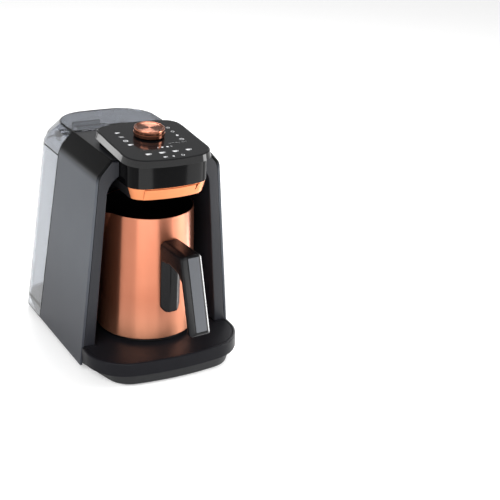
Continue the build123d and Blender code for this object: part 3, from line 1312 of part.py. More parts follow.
def tank_lid():
    """Smoky clear lid with bevelled sides, hinge barrels at the back and a finger notch in front."""
    low = TANK_TOP_Z + SEAM
    bend = [SHOULDER_Z - LID_BEND, SHOULDER_Z + LID_BEND * LID_BEND_SHARE]
    outer = tank_block([low, *bend, TOP_Z - LID_TOP_STEP, TOP_Z], 0)
    inner = tank_block([low - PAST, *bend, TOP_Z - LID_WALL], LID_WALL)
    lid = outer - inner
    front = seam_y(TOP_Z) + TANK_GAP
    notch = block(-NOTCH_HALF_W, NOTCH_HALF_W, -FAR, front + NOTCH_DEPTH, TOP_Z - NOTCH_SINK, FAR)
    shelf_half = NOTCH_HALF_W + NOTCH_WALL
    shelf = block(-shelf_half, shelf_half, front + NOTCH_LAP, front + NOTCH_DEPTH + NOTCH_WALL,
                  TOP_Z - NOTCH_SINK - LID_WALL, TOP_Z - PAST)
    lid = lid + shelf - notch
    for back in LID_RIBS:
        lid = lid + block(*LID_RIB_X, front + back, front + back + LID_WALL, TOP_Z - LID_RIB_H, TOP_Z - LID_RIB_SINK)
    for side in (-1, 1):
        lid = lid + lid_barrel(side * HINGE_X)
        reach = HINGE_BARREL_L / 2 + PAST
        lid = lid - bar_x(side * HINGE_X - reach, side * HINGE_X + reach, hinge_y(), TANK_TOP_Z,
                          HINGE_PIN_R + HINGE_CLEAR)
    return lid


def lid_tab():
    """Dark finger tab set into the lid's notch."""
    front = seam_y(TOP_Z) + TANK_GAP
    w = NOTCH_HALF_W - TAB_GAP
    tab = block(-w, w, front, front + NOTCH_DEPTH - TAB_GAP, TOP_Z - NOTCH_SINK, TOP_Z - TAB_DROP)
    scoop = Pos(0, front + NOTCH_DEPTH * TAB_SCOOP_SHARE, TOP_Z + TAB_SCOOP_RISE) * Sphere(TAB_SCOOP_R)
    return tab - scoop


def lid_barrel(x):
    """One hinge barrel with the web that joins it to the lid's back."""
    half = HINGE_BARREL_L / 2
    wall_y = back_y(TANK_TOP_Z) + HINGE_WALL_SHARE * BACK_BOW
    barrel = bar_x(x - half, x + half, hinge_y(), TANK_TOP_Z, HINGE_BARREL_R)
    web = block(x - half, x + half, wall_y - BARREL_WEB_SINK, hinge_y() + BARREL_WEB_PAST, TANK_TOP_Z + SEAM,
                TANK_TOP_Z + HINGE_BARREL_R + BARREL_WEB_PAST)
    return barrel + web


def hinge_pins():
    """Two pins fixed in the tank's ears."""
    reach = HINGE_BARREL_L / 2 + SEAM + HINGE_EAR_T
    pins = []
    for side in (-1, 1):
        pins.append(bar_x(side * HINGE_X - reach, side * HINGE_X + reach, hinge_y(), TANK_TOP_Z, HINGE_PIN_R - FIT / 2))
    return Compound(pins)


def valve_foot_z():
    """Underside of the valve's plunger while the tank is seated."""
    return TANK_FLOOR_Z - VALVE_FOOT_DROP


def valve_body():
    """Valve spigot clipped into the tank's floor."""
    flange_z = TANK_FLOOR_Z + TANK_FLOOR_T
    body = post(0, VALVE_Y, TANK_FLOOR_Z - VALVE_SPIGOT_L, flange_z, VALVE_R - VALVE_WALL - SHAFT_CLEAR)
    flange = post(0, VALVE_Y, flange_z, flange_z + VALVE_FLANGE_T, VALVE_R + VALVE_FLANGE)
    bore = post(0, VALVE_Y, 0, FAR, VALVE_R - 2 * VALVE_WALL)
    web = ring(VALVE_R - STEM_R, STEM_R + SHAFT_CLEAR, flange_z - VALVE_FLANGE_T, flange_z)
    return body + flange - bore + Pos(0, VALVE_Y, 0) * web


def valve_plunger():
    """Plunger that the seat's pin holds open while the tank is in place."""
    flange_z = TANK_FLOOR_Z + TANK_FLOOR_T
    stem_top = flange_z + STEM_RISE
    stem = post(0, VALVE_Y, valve_foot_z(), stem_top, STEM_R)
    head = post(0, VALVE_Y, valve_foot_z(), valve_foot_z() + STEM_HEAD_H, VALVE_R - 2 * VALVE_WALL - HEATER_GAP)
    cap = post(0, VALVE_Y, stem_top, stem_top + STEM_CAP_H, VALVE_R - STEM_R)
    return stem + head + cap


def valve_spring():
    """Coil around the stem, between the valve body and the plunger's cap."""
    z0 = TANK_FLOOR_Z + TANK_FLOOR_T + SPRING_GAP
    height = STEM_RISE - 2 * SPRING_GAP
    path = Helix(pitch=height / SPRING_COILS, height=height, radius=SPRING_R)
    coil = sweep(Plane(origin=path @ 0, z_dir=path % 0) * Circle(SPRING_WIRE_R), path=path, is_frenet=True)
    return Pos(0, VALVE_Y, z0) * coil


def valve_seal():
    """Rubber ring around the valve spigot."""
    return Pos(0, VALVE_Y, TANK_FLOOR_Z - SEAL_DROP) * Torus(VALVE_R - VALVE_WALL + SEAL_WIRE_R, SEAL_WIRE_R)


def tank_filter():
    """Strainer cup over the valve, with slots in its wall."""
    z0 = TANK_FLOOR_Z + TANK_FLOOR_T
    inner = VALVE_R + FILTER_GAP
    cup = post(0, VALVE_Y, z0, z0 + FILTER_H, inner + FILTER_WALL)
    cup = cup - post(0, VALVE_Y, z0 - PAST, z0 + FILTER_H - FILTER_WALL, inner)
    for turn in range(0, 180, 30):
        slot = Pos(0, VALVE_Y, z0 + FILTER_SLOT_END) * (Rot(0, 0, turn) * Box(
            4 * VALVE_R, FILTER_SLOT_W, FILTER_H - 2 * FILTER_SLOT_END, align=UP))
        cup = cup - slot
    return cup


# ---------------------------------------------------------------- export
def export(name, shape):
    """Write one node."""
    export_step(shape, f"parts/{name}.step")


FOOT_X = FOOT_HALF_W - FOOT_INSET_X
FRONT_FOOT_Y = TRAY_FRONT_Y + FOOT_INSET_FRONT
REAR_FOOT_Y = BACK_FOOT_Y - FOOT_INSET_BACK
RIGHT_PANEL = side_panel()
export("side_panel_right", RIGHT_PANEL)
export("side_panel_left", mirror(RIGHT_PANEL, about=Plane.YZ))
export("rear_wall", rear_wall())
export("base_plinth", base_plinth())
export("cord_gland", cord_gland())
export("tray_body", tray_body())
export("tray_plate", tray_plate())
for foot_name, foot_x, foot_y in (
    ("rubber_foot_front_left", -FOOT_X, FRONT_FOOT_Y),
    ("rubber_foot_front_right", FOOT_X, FRONT_FOOT_Y),
    ("rubber_foot_rear_left", -FOOT_X, REAR_FOOT_Y),
    ("rubber_foot_rear_right", FOOT_X, REAR_FOOT_Y),
):
    export(foot_name, rubber_foot(foot_x, foot_y))
export("base_screws", base_screws())
export("tank_seat", tank_seat())
export("front_frame", front_frame())
export("top_deck", top_deck())
export("head_housing", head_housing())
export("head_bezel", head_bezel())
export("control_glass", control_glass())
export("control_board", control_board())
export("board_screws", board_screws())
export("copper_skirt", copper_skirt())
export("skirt_front_plate", skirt_plate())
export("underside_plate", underside_plate())
export("water_spout", water_spout())
export("foam_sensor", foam_sensor())
export("knob_cap", knob_cap())
export("knob_ring", knob_ring())
export("knob_hub", knob_hub())
export("encoder_shaft", encoder_shaft())
export("encoder_plunger", encoder_plunger())
export("encoder_body", encoder_body())
export("heater_plate", heater_plate())
export("heating_element", heating_element())
export("heater_bracket", heater_bracket())
export("thermal_cutout", thermal_cutout())
export("water_pump", water_pump())
export("pressure_tube", pressure_tube())
export("inlet_tube", inlet_tube())
export("power_board", power_board())
export("pot_body", pot_body())
export("pot_base_disc", pot_disc())
export("pot_handle", handle())
export("handle_insert", handle_insert())
export("handle_bracket", handle_bracket())
export("handle_screw", handle_screw())
export("water_tank", water_tank())
export("tank_lid", tank_lid())
export("lid_tab", lid_tab())
export("lid_hinge_pins", hinge_pins())
export("valve_body", valve_body())
export("valve_plunger", valve_plunger())
export("valve_spring", valve_spring())
export("valve_seal", valve_seal())
export("tank_filter", tank_filter())
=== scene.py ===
import json
import math

import bpy
from mathutils import Matrix, Vector


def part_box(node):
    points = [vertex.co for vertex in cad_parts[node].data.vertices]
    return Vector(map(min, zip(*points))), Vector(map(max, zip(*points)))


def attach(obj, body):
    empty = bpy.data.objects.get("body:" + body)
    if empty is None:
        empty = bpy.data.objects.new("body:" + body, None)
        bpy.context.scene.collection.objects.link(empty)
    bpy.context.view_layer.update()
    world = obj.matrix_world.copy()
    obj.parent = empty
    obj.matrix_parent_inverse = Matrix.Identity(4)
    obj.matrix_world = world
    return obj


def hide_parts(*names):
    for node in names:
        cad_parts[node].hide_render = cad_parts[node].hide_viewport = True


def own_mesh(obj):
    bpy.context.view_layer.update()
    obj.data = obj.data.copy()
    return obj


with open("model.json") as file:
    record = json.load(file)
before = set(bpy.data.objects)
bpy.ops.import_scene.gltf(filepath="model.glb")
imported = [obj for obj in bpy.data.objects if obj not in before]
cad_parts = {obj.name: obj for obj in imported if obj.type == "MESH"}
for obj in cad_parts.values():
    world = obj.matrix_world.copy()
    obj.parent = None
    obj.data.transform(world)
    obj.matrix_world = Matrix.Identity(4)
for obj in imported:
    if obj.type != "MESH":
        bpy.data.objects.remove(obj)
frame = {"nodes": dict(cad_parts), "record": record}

bl_info = {
    "name": "Turkish coffee maker",
    "version": (1, 0, 0),
    "blender": (4, 5, 0),
    "location": "View3D > Sidebar > Coffee maker",
    "description": "Dresses the packed coffee maker in its finishes and sets it in a pale studio",
    "category": "Object",
}

MM = 0.001
NODES = frame["nodes"]
RECORD = frame["record"]
SLOT_OF = {row["node"]: row["material_slot"] for row in RECORD["subparts"]}
BODY_OF = {name: body for body, names in RECORD["behaviour"]["bodies"].items() for name in names}

# The sloping control glass: its origin is on the knob's axis, and the ink lies just clear of its face
TILT = math.radians(4.35)
KNOB_AXIS = Vector((0.0, -math.sin(TILT), math.cos(TILT)))
KNOB_PLACE = Vector((0.0, -20.7, 211.8)) * MM
GLASS = Matrix.Translation(KNOB_PLACE) @ Matrix.Rotation(TILT, 4, "X")
GLASS_TOP = 0.2 * MM
PRINT_LIFT = 0.01 * MM

POT_Y = -18.9 * MM         # the pot's upright axis

# Heights in millimetres between which painted shade and painted light fade in
HEM_SHADE_FROM, HEM_SHADE_FULL = 130, 5            # painted shade: the side panels grow darker downwards
SHOULDER_SHADE_FROM, SHOULDER_SHADE_FULL = 180, 189  # and painted shade turns them black over the shoulder
FOOT_LIGHT_FROM, FOOT_LIGHT_FULL = 72, 8       # painted light: the pot grows paler towards its foot

MOTTLE = 22         # millimetres: how wide the faint mottle of a finish is

# Rounded edges in millimetres
HEAD_EDGE = 0.4
THIN_EDGE = 0.3     # the pot's, the tank's, its lid's and the skirt plate's
FUSE_GROWTH = 0.2   # of a piece that is set into another, so that the two fuse
FLAT_ANGLE = 0.3    # degrees: faces that lie flatter to each other than this are made one
SMOOTH_ANGLE = 32   # degrees: a sharper edge is rounded, a softer one is shaded smooth
MERGE = 0.001       # millimetres within which two points are one

# Which faces take a second finish: how far a normal has to agree with a direction, and millimetres
OUTWARD_MOST, UPWARD_LEAST = -0.3, 0.7    # the pot's coating lies on faces that look inward or up,
BARE_RIM, FLOOR_DEPTH = 0.8, 12           # from this far below its rim, and as its floor only from there
TURNED_LEAST = 0.9                        # the dial's turned face looks along the knob's axis

# The handle in its own side view, in millimetres from the pot's axis, and its turn in degrees
HANDLE = {"turn": 5.0, "top_reach": 82.5, "top_z": 125.0, "foot_reach": 103.0, "foot_z": 52.5,
          "strip_half": 5.7, "strip_low": 58.5, "strip_high": 123.5, "joint": 0.25, "face_depth": 1.2}


# ---------------------------------------------------------------- colours and nodes
def linear(code):
    """sRGB hex colour as linear red, green and blue, and full alpha."""
    parts = [int(code.lstrip("#")[i : i + 2], 16) / 255 for i in (0, 2, 4)]
    return [p / 12.92 if p <= 0.04045 else ((p + 0.055) / 1.055) ** 2.4 for p in parts] + [1.0]


def add(tree, kind, settings=None, links=None):
    """Adds one node. Settings name its options or input sockets, links give each input its source."""
    made = tree.nodes.new(kind)
    for key, value in (settings or {}).items():
        if isinstance(key, str) and hasattr(made, key):
            setattr(made, key, value)
        else:
            made.inputs[key].default_value = value
    for key, source in (links or {}).items():
        tree.links.new(source, made.inputs[key])
    return made


def shader(name, **sockets):
    """A material with one Principled shader whose constants are set on its own sockets."""
    made = bpy.data.materials.new(name)
    made.use_nodes = True
    tree = made.node_tree
    tree.nodes.clear()
    body = tree.nodes.new("ShaderNodeBsdfPrincipled")
    out = tree.nodes.new("ShaderNodeOutputMaterial")
    tree.links.new(body.outputs["BSDF"], out.inputs["Surface"])
    for key, value in sockets.items():
        body.inputs[key.replace("_", " ")].default_value = value
    return made, tree, body


def grained(made, tree, body, dark, light, rough, grain_mm, relief_mm, stretch=(1, 1, 1)):
    """Gives a finish its mottled colour, uneven gloss and fine relief, all at sizes in millimetres."""
    place = add(tree, "ShaderNodeTexCoord").outputs["Object"]
    sized = add(tree, "ShaderNodeMapping", {"Scale": [share / (grain_mm * MM) for share in stretch]},
                {"Vector": place})
    noise = add(tree, "ShaderNodeTexNoise", {"Scale": 1.0, "Detail": 3.0, "Roughness": 0.55},
                {"Vector": sized.outputs["Vector"]})
    wide = add(tree, "ShaderNodeTexNoise", {"Scale": 1 / (MOTTLE * MM), "Detail": 2.0}, {"Vector": place})
    tone = add(tree, "ShaderNodeMix", {"data_type": "RGBA", 6: linear(dark), 7: linear(light)},
               {0: wide.outputs["Fac"]})
    gloss = add(tree, "ShaderNodeMapRange", {"To Min": rough[0], "To Max": rough[1]},
                {"Value": noise.outputs["Fac"]})
    relief = add(tree, "ShaderNodeBump", {"Strength": 1.0, "Distance": relief_mm * MM},
                 {"Height": noise.outputs["Fac"]})
    tree.links.new(tone.outputs[2], body.inputs["Base Color"])
    tree.links.new(gloss.outputs["Result"], body.inputs["Roughness"])
    tree.links.new(relief.outputs["Normal"], body.inputs["Normal"])
    return made


def painted_light_by_height(tree, body, start_mm, end_mm, code):
    """Paints light and shade by height: a second colour takes over from one height to another."""
    place = add(tree, "ShaderNodeTexCoord").outputs["Object"]
    level = add(tree, "ShaderNodeSeparateXYZ", None, {0: place}).outputs["Z"]
    share = add(tree, "ShaderNodeMapRange",
                {"From Min": start_mm * MM, "From Max": end_mm * MM, "interpolation_type": "SMOOTHSTEP"},
                {"Value": level})
    tone = body.inputs["Base Color"].links[0].from_socket
    mixed = add(tree, "ShaderNodeMix", {"data_type": "RGBA", 7: linear(code)},
                {0: share.outputs["Result"], 6: tone})
    tree.links.new(mixed.outputs[2], body.inputs["Base Color"])


def brushed_round(tree, body):
    """Lays a metal's brush marks around the upright axis."""
    tangent = add(tree, "ShaderNodeTangent", {"direction_type": "RADIAL", "axis": "Z"})
    tree.links.new(tangent.outputs["Tangent"], body.inputs["Tangent"])


# ---------------------------------------------------------------- finishes
def painted_steel():
    """Painted sheet steel, satin: a soft sheen over a very fine orange peel.

    Painted shade darkens the slate grey flank towards the hem and turns the shoulder black.
    """
    made, tree, body = shader("painted_steel_satin", IOR=1.5, Specular_IOR_Level=0.08)
    grained(made, tree, body, "#55595f", "#5a5e64", (0.27, 0.30), 0.6, 0.0006)
    # painted shade: the flank darkens towards the hem
    painted_light_by_height(tree, body, HEM_SHADE_FROM, HEM_SHADE_FULL, "#3a3c42")
    # painted shade: the shoulder turns black
    painted_light_by_height(tree, body, SHOULDER_SHADE_FROM, SHOULDER_SHADE_FULL, "#050506")
    return made


def fine_abs():
    """ABS with a fine spark-eroded grain: it scatters light, so the faces stay near black."""
    return grained(*shader("abs_fine_grain", IOR=1.53, Specular_IOR_Level=0.3),
                   "#202126", "#25262b", (0.34, 0.44), 0.5, 0.005)


def bay_abs():
    """Matt black ABS of the bay and of the walls that are seldom seen."""
    return grained(*shader("abs_matt_black", IOR=1.53, Specular_IOR_Level=0.2),
                   "#09090b", "#0e0e10", (0.5, 0.6), 0.8, 0.006)


def base_abs():
    """Matt black ABS of the tub and the ledge under the tank."""
    return grained(*shader("abs_matt_base", IOR=1.53, Specular_IOR_Level=0.3),
                   "#111214", "#17181a", (0.42, 0.52), 0.6, 0.005)


def tray_abs():
    """Smooth moulded ABS of the tray, with a faint reflection of the pot in it."""
    return grained(*shader("abs_satin_tray", IOR=1.53, Specular_IOR_Level=0.08),
                   "#151518", "#1b1b1f", (0.32, 0.4), 1.6, 0.003)


def deck_abs():
    """Satin dark grey ABS of the deck."""
    return grained(*shader("abs_satin_deck", IOR=1.53, Specular_IOR_Level=0.15),
                   "#17181b", "#1c1d20", (0.3, 0.38), 1.0, 0.004)


def gloss_abs():
    """High-gloss black ABS, straight from a polished mould: it mirrors the room with a slight wave."""
    return grained(*shader("abs_high_gloss", IOR=1.53, Specular_IOR_Level=0.07),
                   "#050506", "#070708", (0.09, 0.14), 9.0, 0.003)


def polished_abs():
    """Black ABS buffed to a mirror, round the glass: its flanks catch the light."""
    return grained(*shader("abs_buffed_black", IOR=1.53, Specular_IOR_Level=0.45),
                   "#060607", "#0a0a0b", (0.07, 0.1), 9.0, 0.001)


def printed_glass():
    """Tempered glass printed dark grey from behind: a sharp reflection over an even grey."""
    return grained(*shader("printed_glass", IOR=1.52, Specular_IOR_Level=0.2,
                           Coat_Weight=0.3, Coat_Roughness=0.02),
                   "#0f1012", "#121315", (0.12, 0.13), 12.0, 0.00005)


def panel_ink():
    """White ceramic ink fired on the glass: slightly rough, with a faint grey mottle."""
    return grained(*shader("ceramic_ink_white", IOR=1.5),
                   "#c9cacc", "#dddee0", (0.45, 0.55), 0.6, 0.002)


def anodised_copper():
    """Anodised aluminium in a copper tone, satin: the skirt and its plate."""
    return grained(*shader("anodised_copper_satin", Metallic=0.7),
                   "#dd8656", "#e39160", (0.36, 0.44), 0.4, 0.002)


def turned_copper():
    """Copper-toned aluminium turned on a lathe: fine rings that fan the light out from the axis."""
    made, tree, body = shader("turned_copper", Metallic=1.0, Anisotropic=0.95, Anisotropic_Rotation=0.25)
    grained(made, tree, body, "#97604e", "#a8725b", (0.24, 0.28), 0.5, 0.001)
    brushed_round(tree, body)
    return made


def polished_copper():
    """The same metal polished on the knob's sides: it mirrors the dark glass below and the lamps."""
    return grained(*shader("polished_copper", Metallic=1.0),
                   "#b5745b", "#c38066", (0.14, 0.2), 0.6, 0.001)


def plated_pot():
    """Copper-plated steel, brushed around the axis and lacquered: upright bands of light, and painted light
    that makes the foot paler.
    """
    made, tree, body = shader("copper_plated_steel", Metallic=0.9, Anisotropic=0.9, Anisotropic_Rotation=0.25,
                              Coat_Weight=0.3, Coat_Roughness=0.3)
    grained(made, tree, body, "#b06a4e", "#b97357", (0.30, 0.36), 0.5, 0.0016, stretch=(0.02, 0.02, 1))
    # painted light: the pot is painted paler towards its foot
    painted_light_by_height(tree, body, FOOT_LIGHT_FROM, FOOT_LIGHT_FULL, "#f2a885")
    brushed_round(tree, body)
    return made


def non_stick():
    """Dark non-stick coating inside the pot and on the hot plate: fine speckle, low gloss."""
    return grained(*shader("non_stick_coating", IOR=1.5, Specular_IOR_Level=0.2),
                   "#0a0a0a", "#131212", (0.4, 0.55), 0.7, 0.008)


def steel():
    """Plain steel of screws, pins and brackets."""
    return grained(*shader("steel_plain", Metallic=1.0),
                   "#a2a2a4", "#b4b4b6", (0.28, 0.4), 0.5, 0.003)


def element():
    """Drawn steel sheath of the heating element, tinted by heat."""
    return grained(*shader("element_sheath", Metallic=1.0),
                   "#8d8780", "#a39c93", (0.3, 0.42), 0.8, 0.004)


def grip_finish():
    """The handle's phenolic, with a lacquered strip let into the grip's front inside a hairline joint."""
    made, tree, body = shader("phenolic_with_strip", IOR=1.55, Specular_IOR_Level=0.17)
    grained(made, tree, body, "#08080a", "#0c0c0e", (0.24, 0.32), 0.5, 0.004)
    place = add(tree, "ShaderNodeTexCoord").outputs["Object"]
    turned_by = (0, 0, math.radians(HANDLE["turn"] - 90))
    own = add(tree, "ShaderNodeMapping",
              {"vector_type": "TEXTURE", "Location": (0, POT_Y, 0), "Rotation": turned_by},
              {"Vector": place}).outputs["Vector"]
    lean = math.atan2(HANDLE["foot_reach"] - HANDLE["top_reach"], HANDLE["top_z"] - HANDLE["foot_z"])
    normal = (math.cos(lean), 0, math.sin(lean))
    face = (HANDLE["top_reach"] * math.cos(lean) + HANDLE["top_z"] * math.sin(lean)) * MM
    depth = add(tree, "ShaderNodeVectorMath", {"operation": "DOT_PRODUCT", 1: normal},
                {0: own}).outputs["Value"]
    axes = add(tree, "ShaderNodeSeparateXYZ", None, {0: own}).outputs
    strips = []
    for inset in (0.0, HANDLE["joint"]):
        half = HANDLE["strip_half"] - inset
        low, high = HANDLE["strip_low"] + inset, HANDLE["strip_high"] - inset
        front = add(tree, "ShaderNodeMath",
                    {"operation": "GREATER_THAN", 1: face - HANDLE["face_depth"] * MM}, {0: depth})
        across = add(tree, "ShaderNodeMath", {"operation": "COMPARE", 1: 0.0, 2: half * MM}, {0: axes["Y"]})
        middle, reach = (low + high) / 2, (high - low) / 2
        along = add(tree, "ShaderNodeMath", {"operation": "COMPARE", 1: middle * MM, 2: reach * MM},
                    {0: axes["Z"]})
        both = add(tree, "ShaderNodeMath", {"operation": "MULTIPLY"},
                   {0: front.outputs[0], 1: across.outputs[0]})
        strips.append(add(tree, "ShaderNodeMath", {"operation": "MULTIPLY"},
                          {0: both.outputs[0], 1: along.outputs[0]}))
    tone = body.inputs["Base Color"].links[0].from_socket
    joint = add(tree, "ShaderNodeMix", {"data_type": "RGBA", 7: linear("#0a0a0b")},
                {0: strips[0].outputs[0], 6: tone})
    strip = add(tree, "ShaderNodeMix", {"data_type": "RGBA", 7: linear("#5c5e62")},
                {0: strips[1].outputs[0], 6: joint.outputs[2]})
    tree.links.new(strip.outputs[2], body.inputs["Base Color"])
    return made


def smoked_plastic(name, tint, rough):
    """Clear smoky polycarbonate: light passes through, greyed by its thickness."""
    return grained(*shader(name, IOR=1.5, Transmission_Weight=1.0),
                   *tint, rough, 6.0, 0.004)


def painted_edge_shade():
    """Painted shade along the plastic's rounded edges: a near-black opaque finish stands in for the dark line
    that light bent away draws there.
    """
    return grained(*shader("smoked_plastic_edge_painted_shade", IOR=1.5, Specular_IOR_Level=0.2),
                   "#0b0c0d", "#101113", (0.14, 0.2), 6.0, 0.001)


def rubber():
    """Soft black rubber."""
    return grained(*shader("rubber_soft", IOR=1.52, Specular_IOR_Level=0.3),
                   "#101010", "#171717", (0.6, 0.75), 0.6, 0.01)


def white_plastic():
    """Off-white acetal of the valve, the pump and the small inner parts."""
    return grained(*shader("acetal_off_white", IOR=1.48),
                   "#c9c8c2", "#d3d2cc", (0.35, 0.45), 0.9, 0.004)


def circuit():
    """Green solder mask on a printed board."""
    return grained(*shader("solder_mask", IOR=1.5),
                   "#1a5a38", "#226643", (0.25, 0.4), 2.5, 0.01)


def hose():
    """Milky silicone hose."""
    return grained(*shader("silicone_milky", IOR=1.41, Subsurface_Weight=0.2),
                   "#c4c6c7", "#d2d4d5", (0.4, 0.5), 1.5, 0.004)


FINISH_OF = {
    "panel_grey": painted_steel, "frame_black": fine_abs, "bay_black": bay_abs, "base_black": base_abs,
    "tray_black": tray_abs, "deck_grey": deck_abs, "head_black": gloss_abs, "rubber_black": rubber,
    "panel_glass": printed_glass, "copper_trim": anodised_copper, "copper_pot": plated_pot,
    "hot_plate": non_stick, "steel": steel, "element_steel": element, "hose_clear": hose,
    "circuit_green": circuit, "inner_white": white_plastic,
    "tank_smoke": lambda: smoked_plastic("smoked_plastic_tank", ("#bbbec3", "#c1c5ca"), (0.03, 0.06)),
    "lid_smoke": lambda: smoked_plastic("smoked_plastic_lid", ("#aeb1b7", "#b5b8be"), (0.04, 0.07)),
}
MADE = {}


def finish_for(slot):
    """The finish of one of the record's slots, made once."""
    if slot not in MADE:
        MADE[slot] = FINISH_OF[slot]()
    return MADE[slot]


def paint(piece, *finishes):
    """Puts finishes in a piece's slots."""
    piece.data.materials.clear()
    for finish in finishes:
        piece.data.materials.append(finish)


def dress(*names):
    """Gives CAD nodes the finish of their slots."""
    for name in names:
        if name not in NODES:
            raise RuntimeError(f"no node {name}")
        paint(NODES[name], finish_for(SLOT_OF[name]))


# ---------------------------------------------------------------- modelling
def take(piece):
    """Makes a piece the only one selected, and the active one."""
    bpy.ops.object.select_all(action="DESELECT")
    piece.select_set(True)
    bpy.context.view_layer.objects.active = piece
    return piece


def started(name):
    """The primitive that was just added, named and open in edit mode with all of it selected."""
    piece = take(bpy.context.object)
    piece.name = piece.data.name = name
    bpy.ops.object.mode_set(mode="EDIT")
    bpy.ops.mesh.select_all(action="SELECT")
    return piece


def closed(piece, place, angle=30):
    """Leaves edit mode: doubles merged, normals outward, set in its place, sharp edges kept crisp."""
    bpy.ops.mesh.select_all(action="SELECT")
    bpy.ops.mesh.remove_doubles(threshold=MERGE * MM)
    bpy.ops.mesh.normals_make_consistent(inside=False)
    bpy.ops.object.mode_set(mode="OBJECT")
    piece.matrix_world = place
    bpy.ops.object.transform_apply(location=True, rotation=True, scale=True)
    bpy.ops.object.shade_smooth_by_angle(angle=math.radians(angle))
    return piece


def turned(name, outline, sides=128):
    """Turned piece: a ring is drawn out and resized along the steps of its outline, in millimetres."""
    radius, height = outline[0]
    bpy.ops.mesh.primitive_circle_add(vertices=sides, radius=radius * MM, fill_type="NGON",
                                      location=(0, 0, height * MM))
    bpy.ops.object.transform_apply(location=True)
    piece = started(name)
    for (old, low), (new, high) in zip(outline, outline[1:]):
        bpy.ops.mesh.extrude_region_move(TRANSFORM_OT_translate={"value": (0, 0, (high - low) * MM)})
        bpy.ops.transform.resize(value=(new / old, new / old, 1), center_override=(0, 0, high * MM))
    return piece


def seated(piece, name, *others):
    """Lets a new piece ride with the CAD node that it stands for, and hides that node and the others given."""
    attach(piece, BODY_OF[name])
    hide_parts(name, *others)
    return piece


def duplicate(node, name):
    """A new piece with a copy of a CAD node's mesh, selected and active."""
    piece = bpy.data.objects.new(name, NODES[node].data.copy())
    bpy.context.scene.collection.objects.link(piece)
    return take(piece)


def plain_normals(piece):
    """Drops the normals that came with the active piece's mesh."""
    if piece.data.has_custom_normals:
        bpy.ops.mesh.customdata_custom_splitnormals_clear()


def moulded(name, nodes, voxel_mm, passes):
    """Copies of CAD nodes fused and rounded all over, as a moulding leaves its tool, in the nodes' place."""
    copies = []
    for node in nodes:
        copies.append(duplicate(node, name))
        if node != nodes[0]:
            grown = copies[-1].modifiers.new("grown", "DISPLACE")
            grown.strength, grown.mid_level = FUSE_GROWTH * MM, 0.0
            bpy.ops.object.modifier_apply(modifier="grown")
    for piece in copies:
        piece.select_set(True)
    piece = bpy.context.view_layer.objects.active = copies[0]
    bpy.ops.object.join()
    plain_normals(piece)
    fused = piece.modifiers.new("fused", "REMESH")
    fused.mode, fused.voxel_size = "VOXEL", voxel_mm * MM
    bpy.ops.object.modifier_apply(modifier="fused")
    eased = piece.modifiers.new("eased", "SMOOTH")
    eased.factor, eased.iterations = 0.5, passes
    bpy.ops.object.modifier_apply(modifier="eased")
    bpy.ops.object.shade_smooth()
    return seated(piece, *nodes)


def copied(name):
    """Copy of a CAD node with its doubles merged and its flat faces made whole."""
    piece = duplicate(name, name + "_soft")
    plain_normals(piece)
    bpy.ops.object.mode_set(mode="EDIT")
    bpy.ops.mesh.select_all(action="SELECT")
    bpy.ops.mesh.remove_doubles(threshold=MERGE * MM)
    bpy.ops.mesh.dissolve_limited(angle_limit=math.radians(FLAT_ANGLE))
    bpy.ops.object.mode_set(mode="OBJECT")
    bpy.ops.object.shade_smooth_by_angle(angle=math.radians(SMOOTH_ANGLE))
    return piece


def drawn_back(piece, node, reach):
    """Puts the few points that a bevel throws past short edges back onto the solid, and joins doubles."""
    for point in piece.data.vertices:
        spot = NODES[node].closest_point_on_mesh(point.co)[1]
        if (point.co - spot).length > reach:
            point.co = spot
    take(piece)
    bpy.ops.object.mode_set(mode="EDIT")
    bpy.ops.mesh.select_all(action="SELECT")
    bpy.ops.mesh.remove_doubles(threshold=2 * MERGE * MM)
    bpy.ops.object.mode_set(mode="OBJECT")


def softened(name, edge_mm, rim=None):
    """Copy of a CAD node with its sharp edges rounded, as a mould or a press leaves them, in its place."""
    piece = copied(name)
    edges = piece.modifiers.new("edges", "BEVEL")
    edges.width = edge_mm * MM
    edges.segments = 2
    edges.limit_method = "ANGLE"
    edges.angle_limit = math.radians(SMOOTH_ANGLE)
    edges.use_clamp_overlap = False
    edges.harden_normals = True
    paint(piece, finish_for(SLOT_OF[name]))
    # a rim finish laid on the rounded edges is painted shade
    if rim:
        piece.data.materials.append(rim)
        edges.material = 1
    bpy.ops.object.modifier_apply(modifier="edges")
    drawn_back(piece, name, edge_mm * MM)
    return seated(piece, name)


class CoffeeSettings(bpy.types.PropertyGroup):
    """Sizes that the machine's visible pieces are finished to."""

    casing_edge: bpy.props.FloatProperty(name="Casing edges", description="Rounding of the casing's edges",
                                         default=0.5 * MM, unit="LENGTH", precision=5)
    handle_voxel: bpy.props.FloatProperty(name="Handle grain", description="Size of the handle's mesh",
                                          default=0.5 * MM, unit="LENGTH", precision=5)
    handle_passes: bpy.props.IntProperty(name="Handle rounding",
                                         description="How often the handle is smoothed", default=30)
    print_height: bpy.props.FloatProperty(name="Print height",
                                          description="Thickness of the ink on the glass",
                                          default=0.05 * MM, unit="LENGTH", precision=6)


class StageSettings(bpy.types.PropertyGroup):
    """Size and brightness of the studio."""

    floor_size: bpy.props.FloatProperty(name="Floor size", description="Side of the pale floor",
                                        default=24.0, unit="LENGTH")
    floor_grey: bpy.props.FloatProperty(name="Floor brightness", description="How white the floor is",
                                        default=0.8)
    sky: bpy.props.FloatProperty(name="Room light", description="Even light from all sides", default=0.3)
    key: bpy.props.FloatProperty(name="Key lamp", description="Power of the large lamp, watts",
                                 default=30.0)


# ---------------------------------------------------------------- studio
# How brightly floor and wall show by themselves, and in metres where the floor brightens
FLOOR_GLOW, FLOOR_FAR_GLOW, WALL_GLOW = 0.35, 0.75, 0.9
GLOW_FROM, GLOW_TO = 0.8, 4.0
WALL_HEIGHT = 3.0

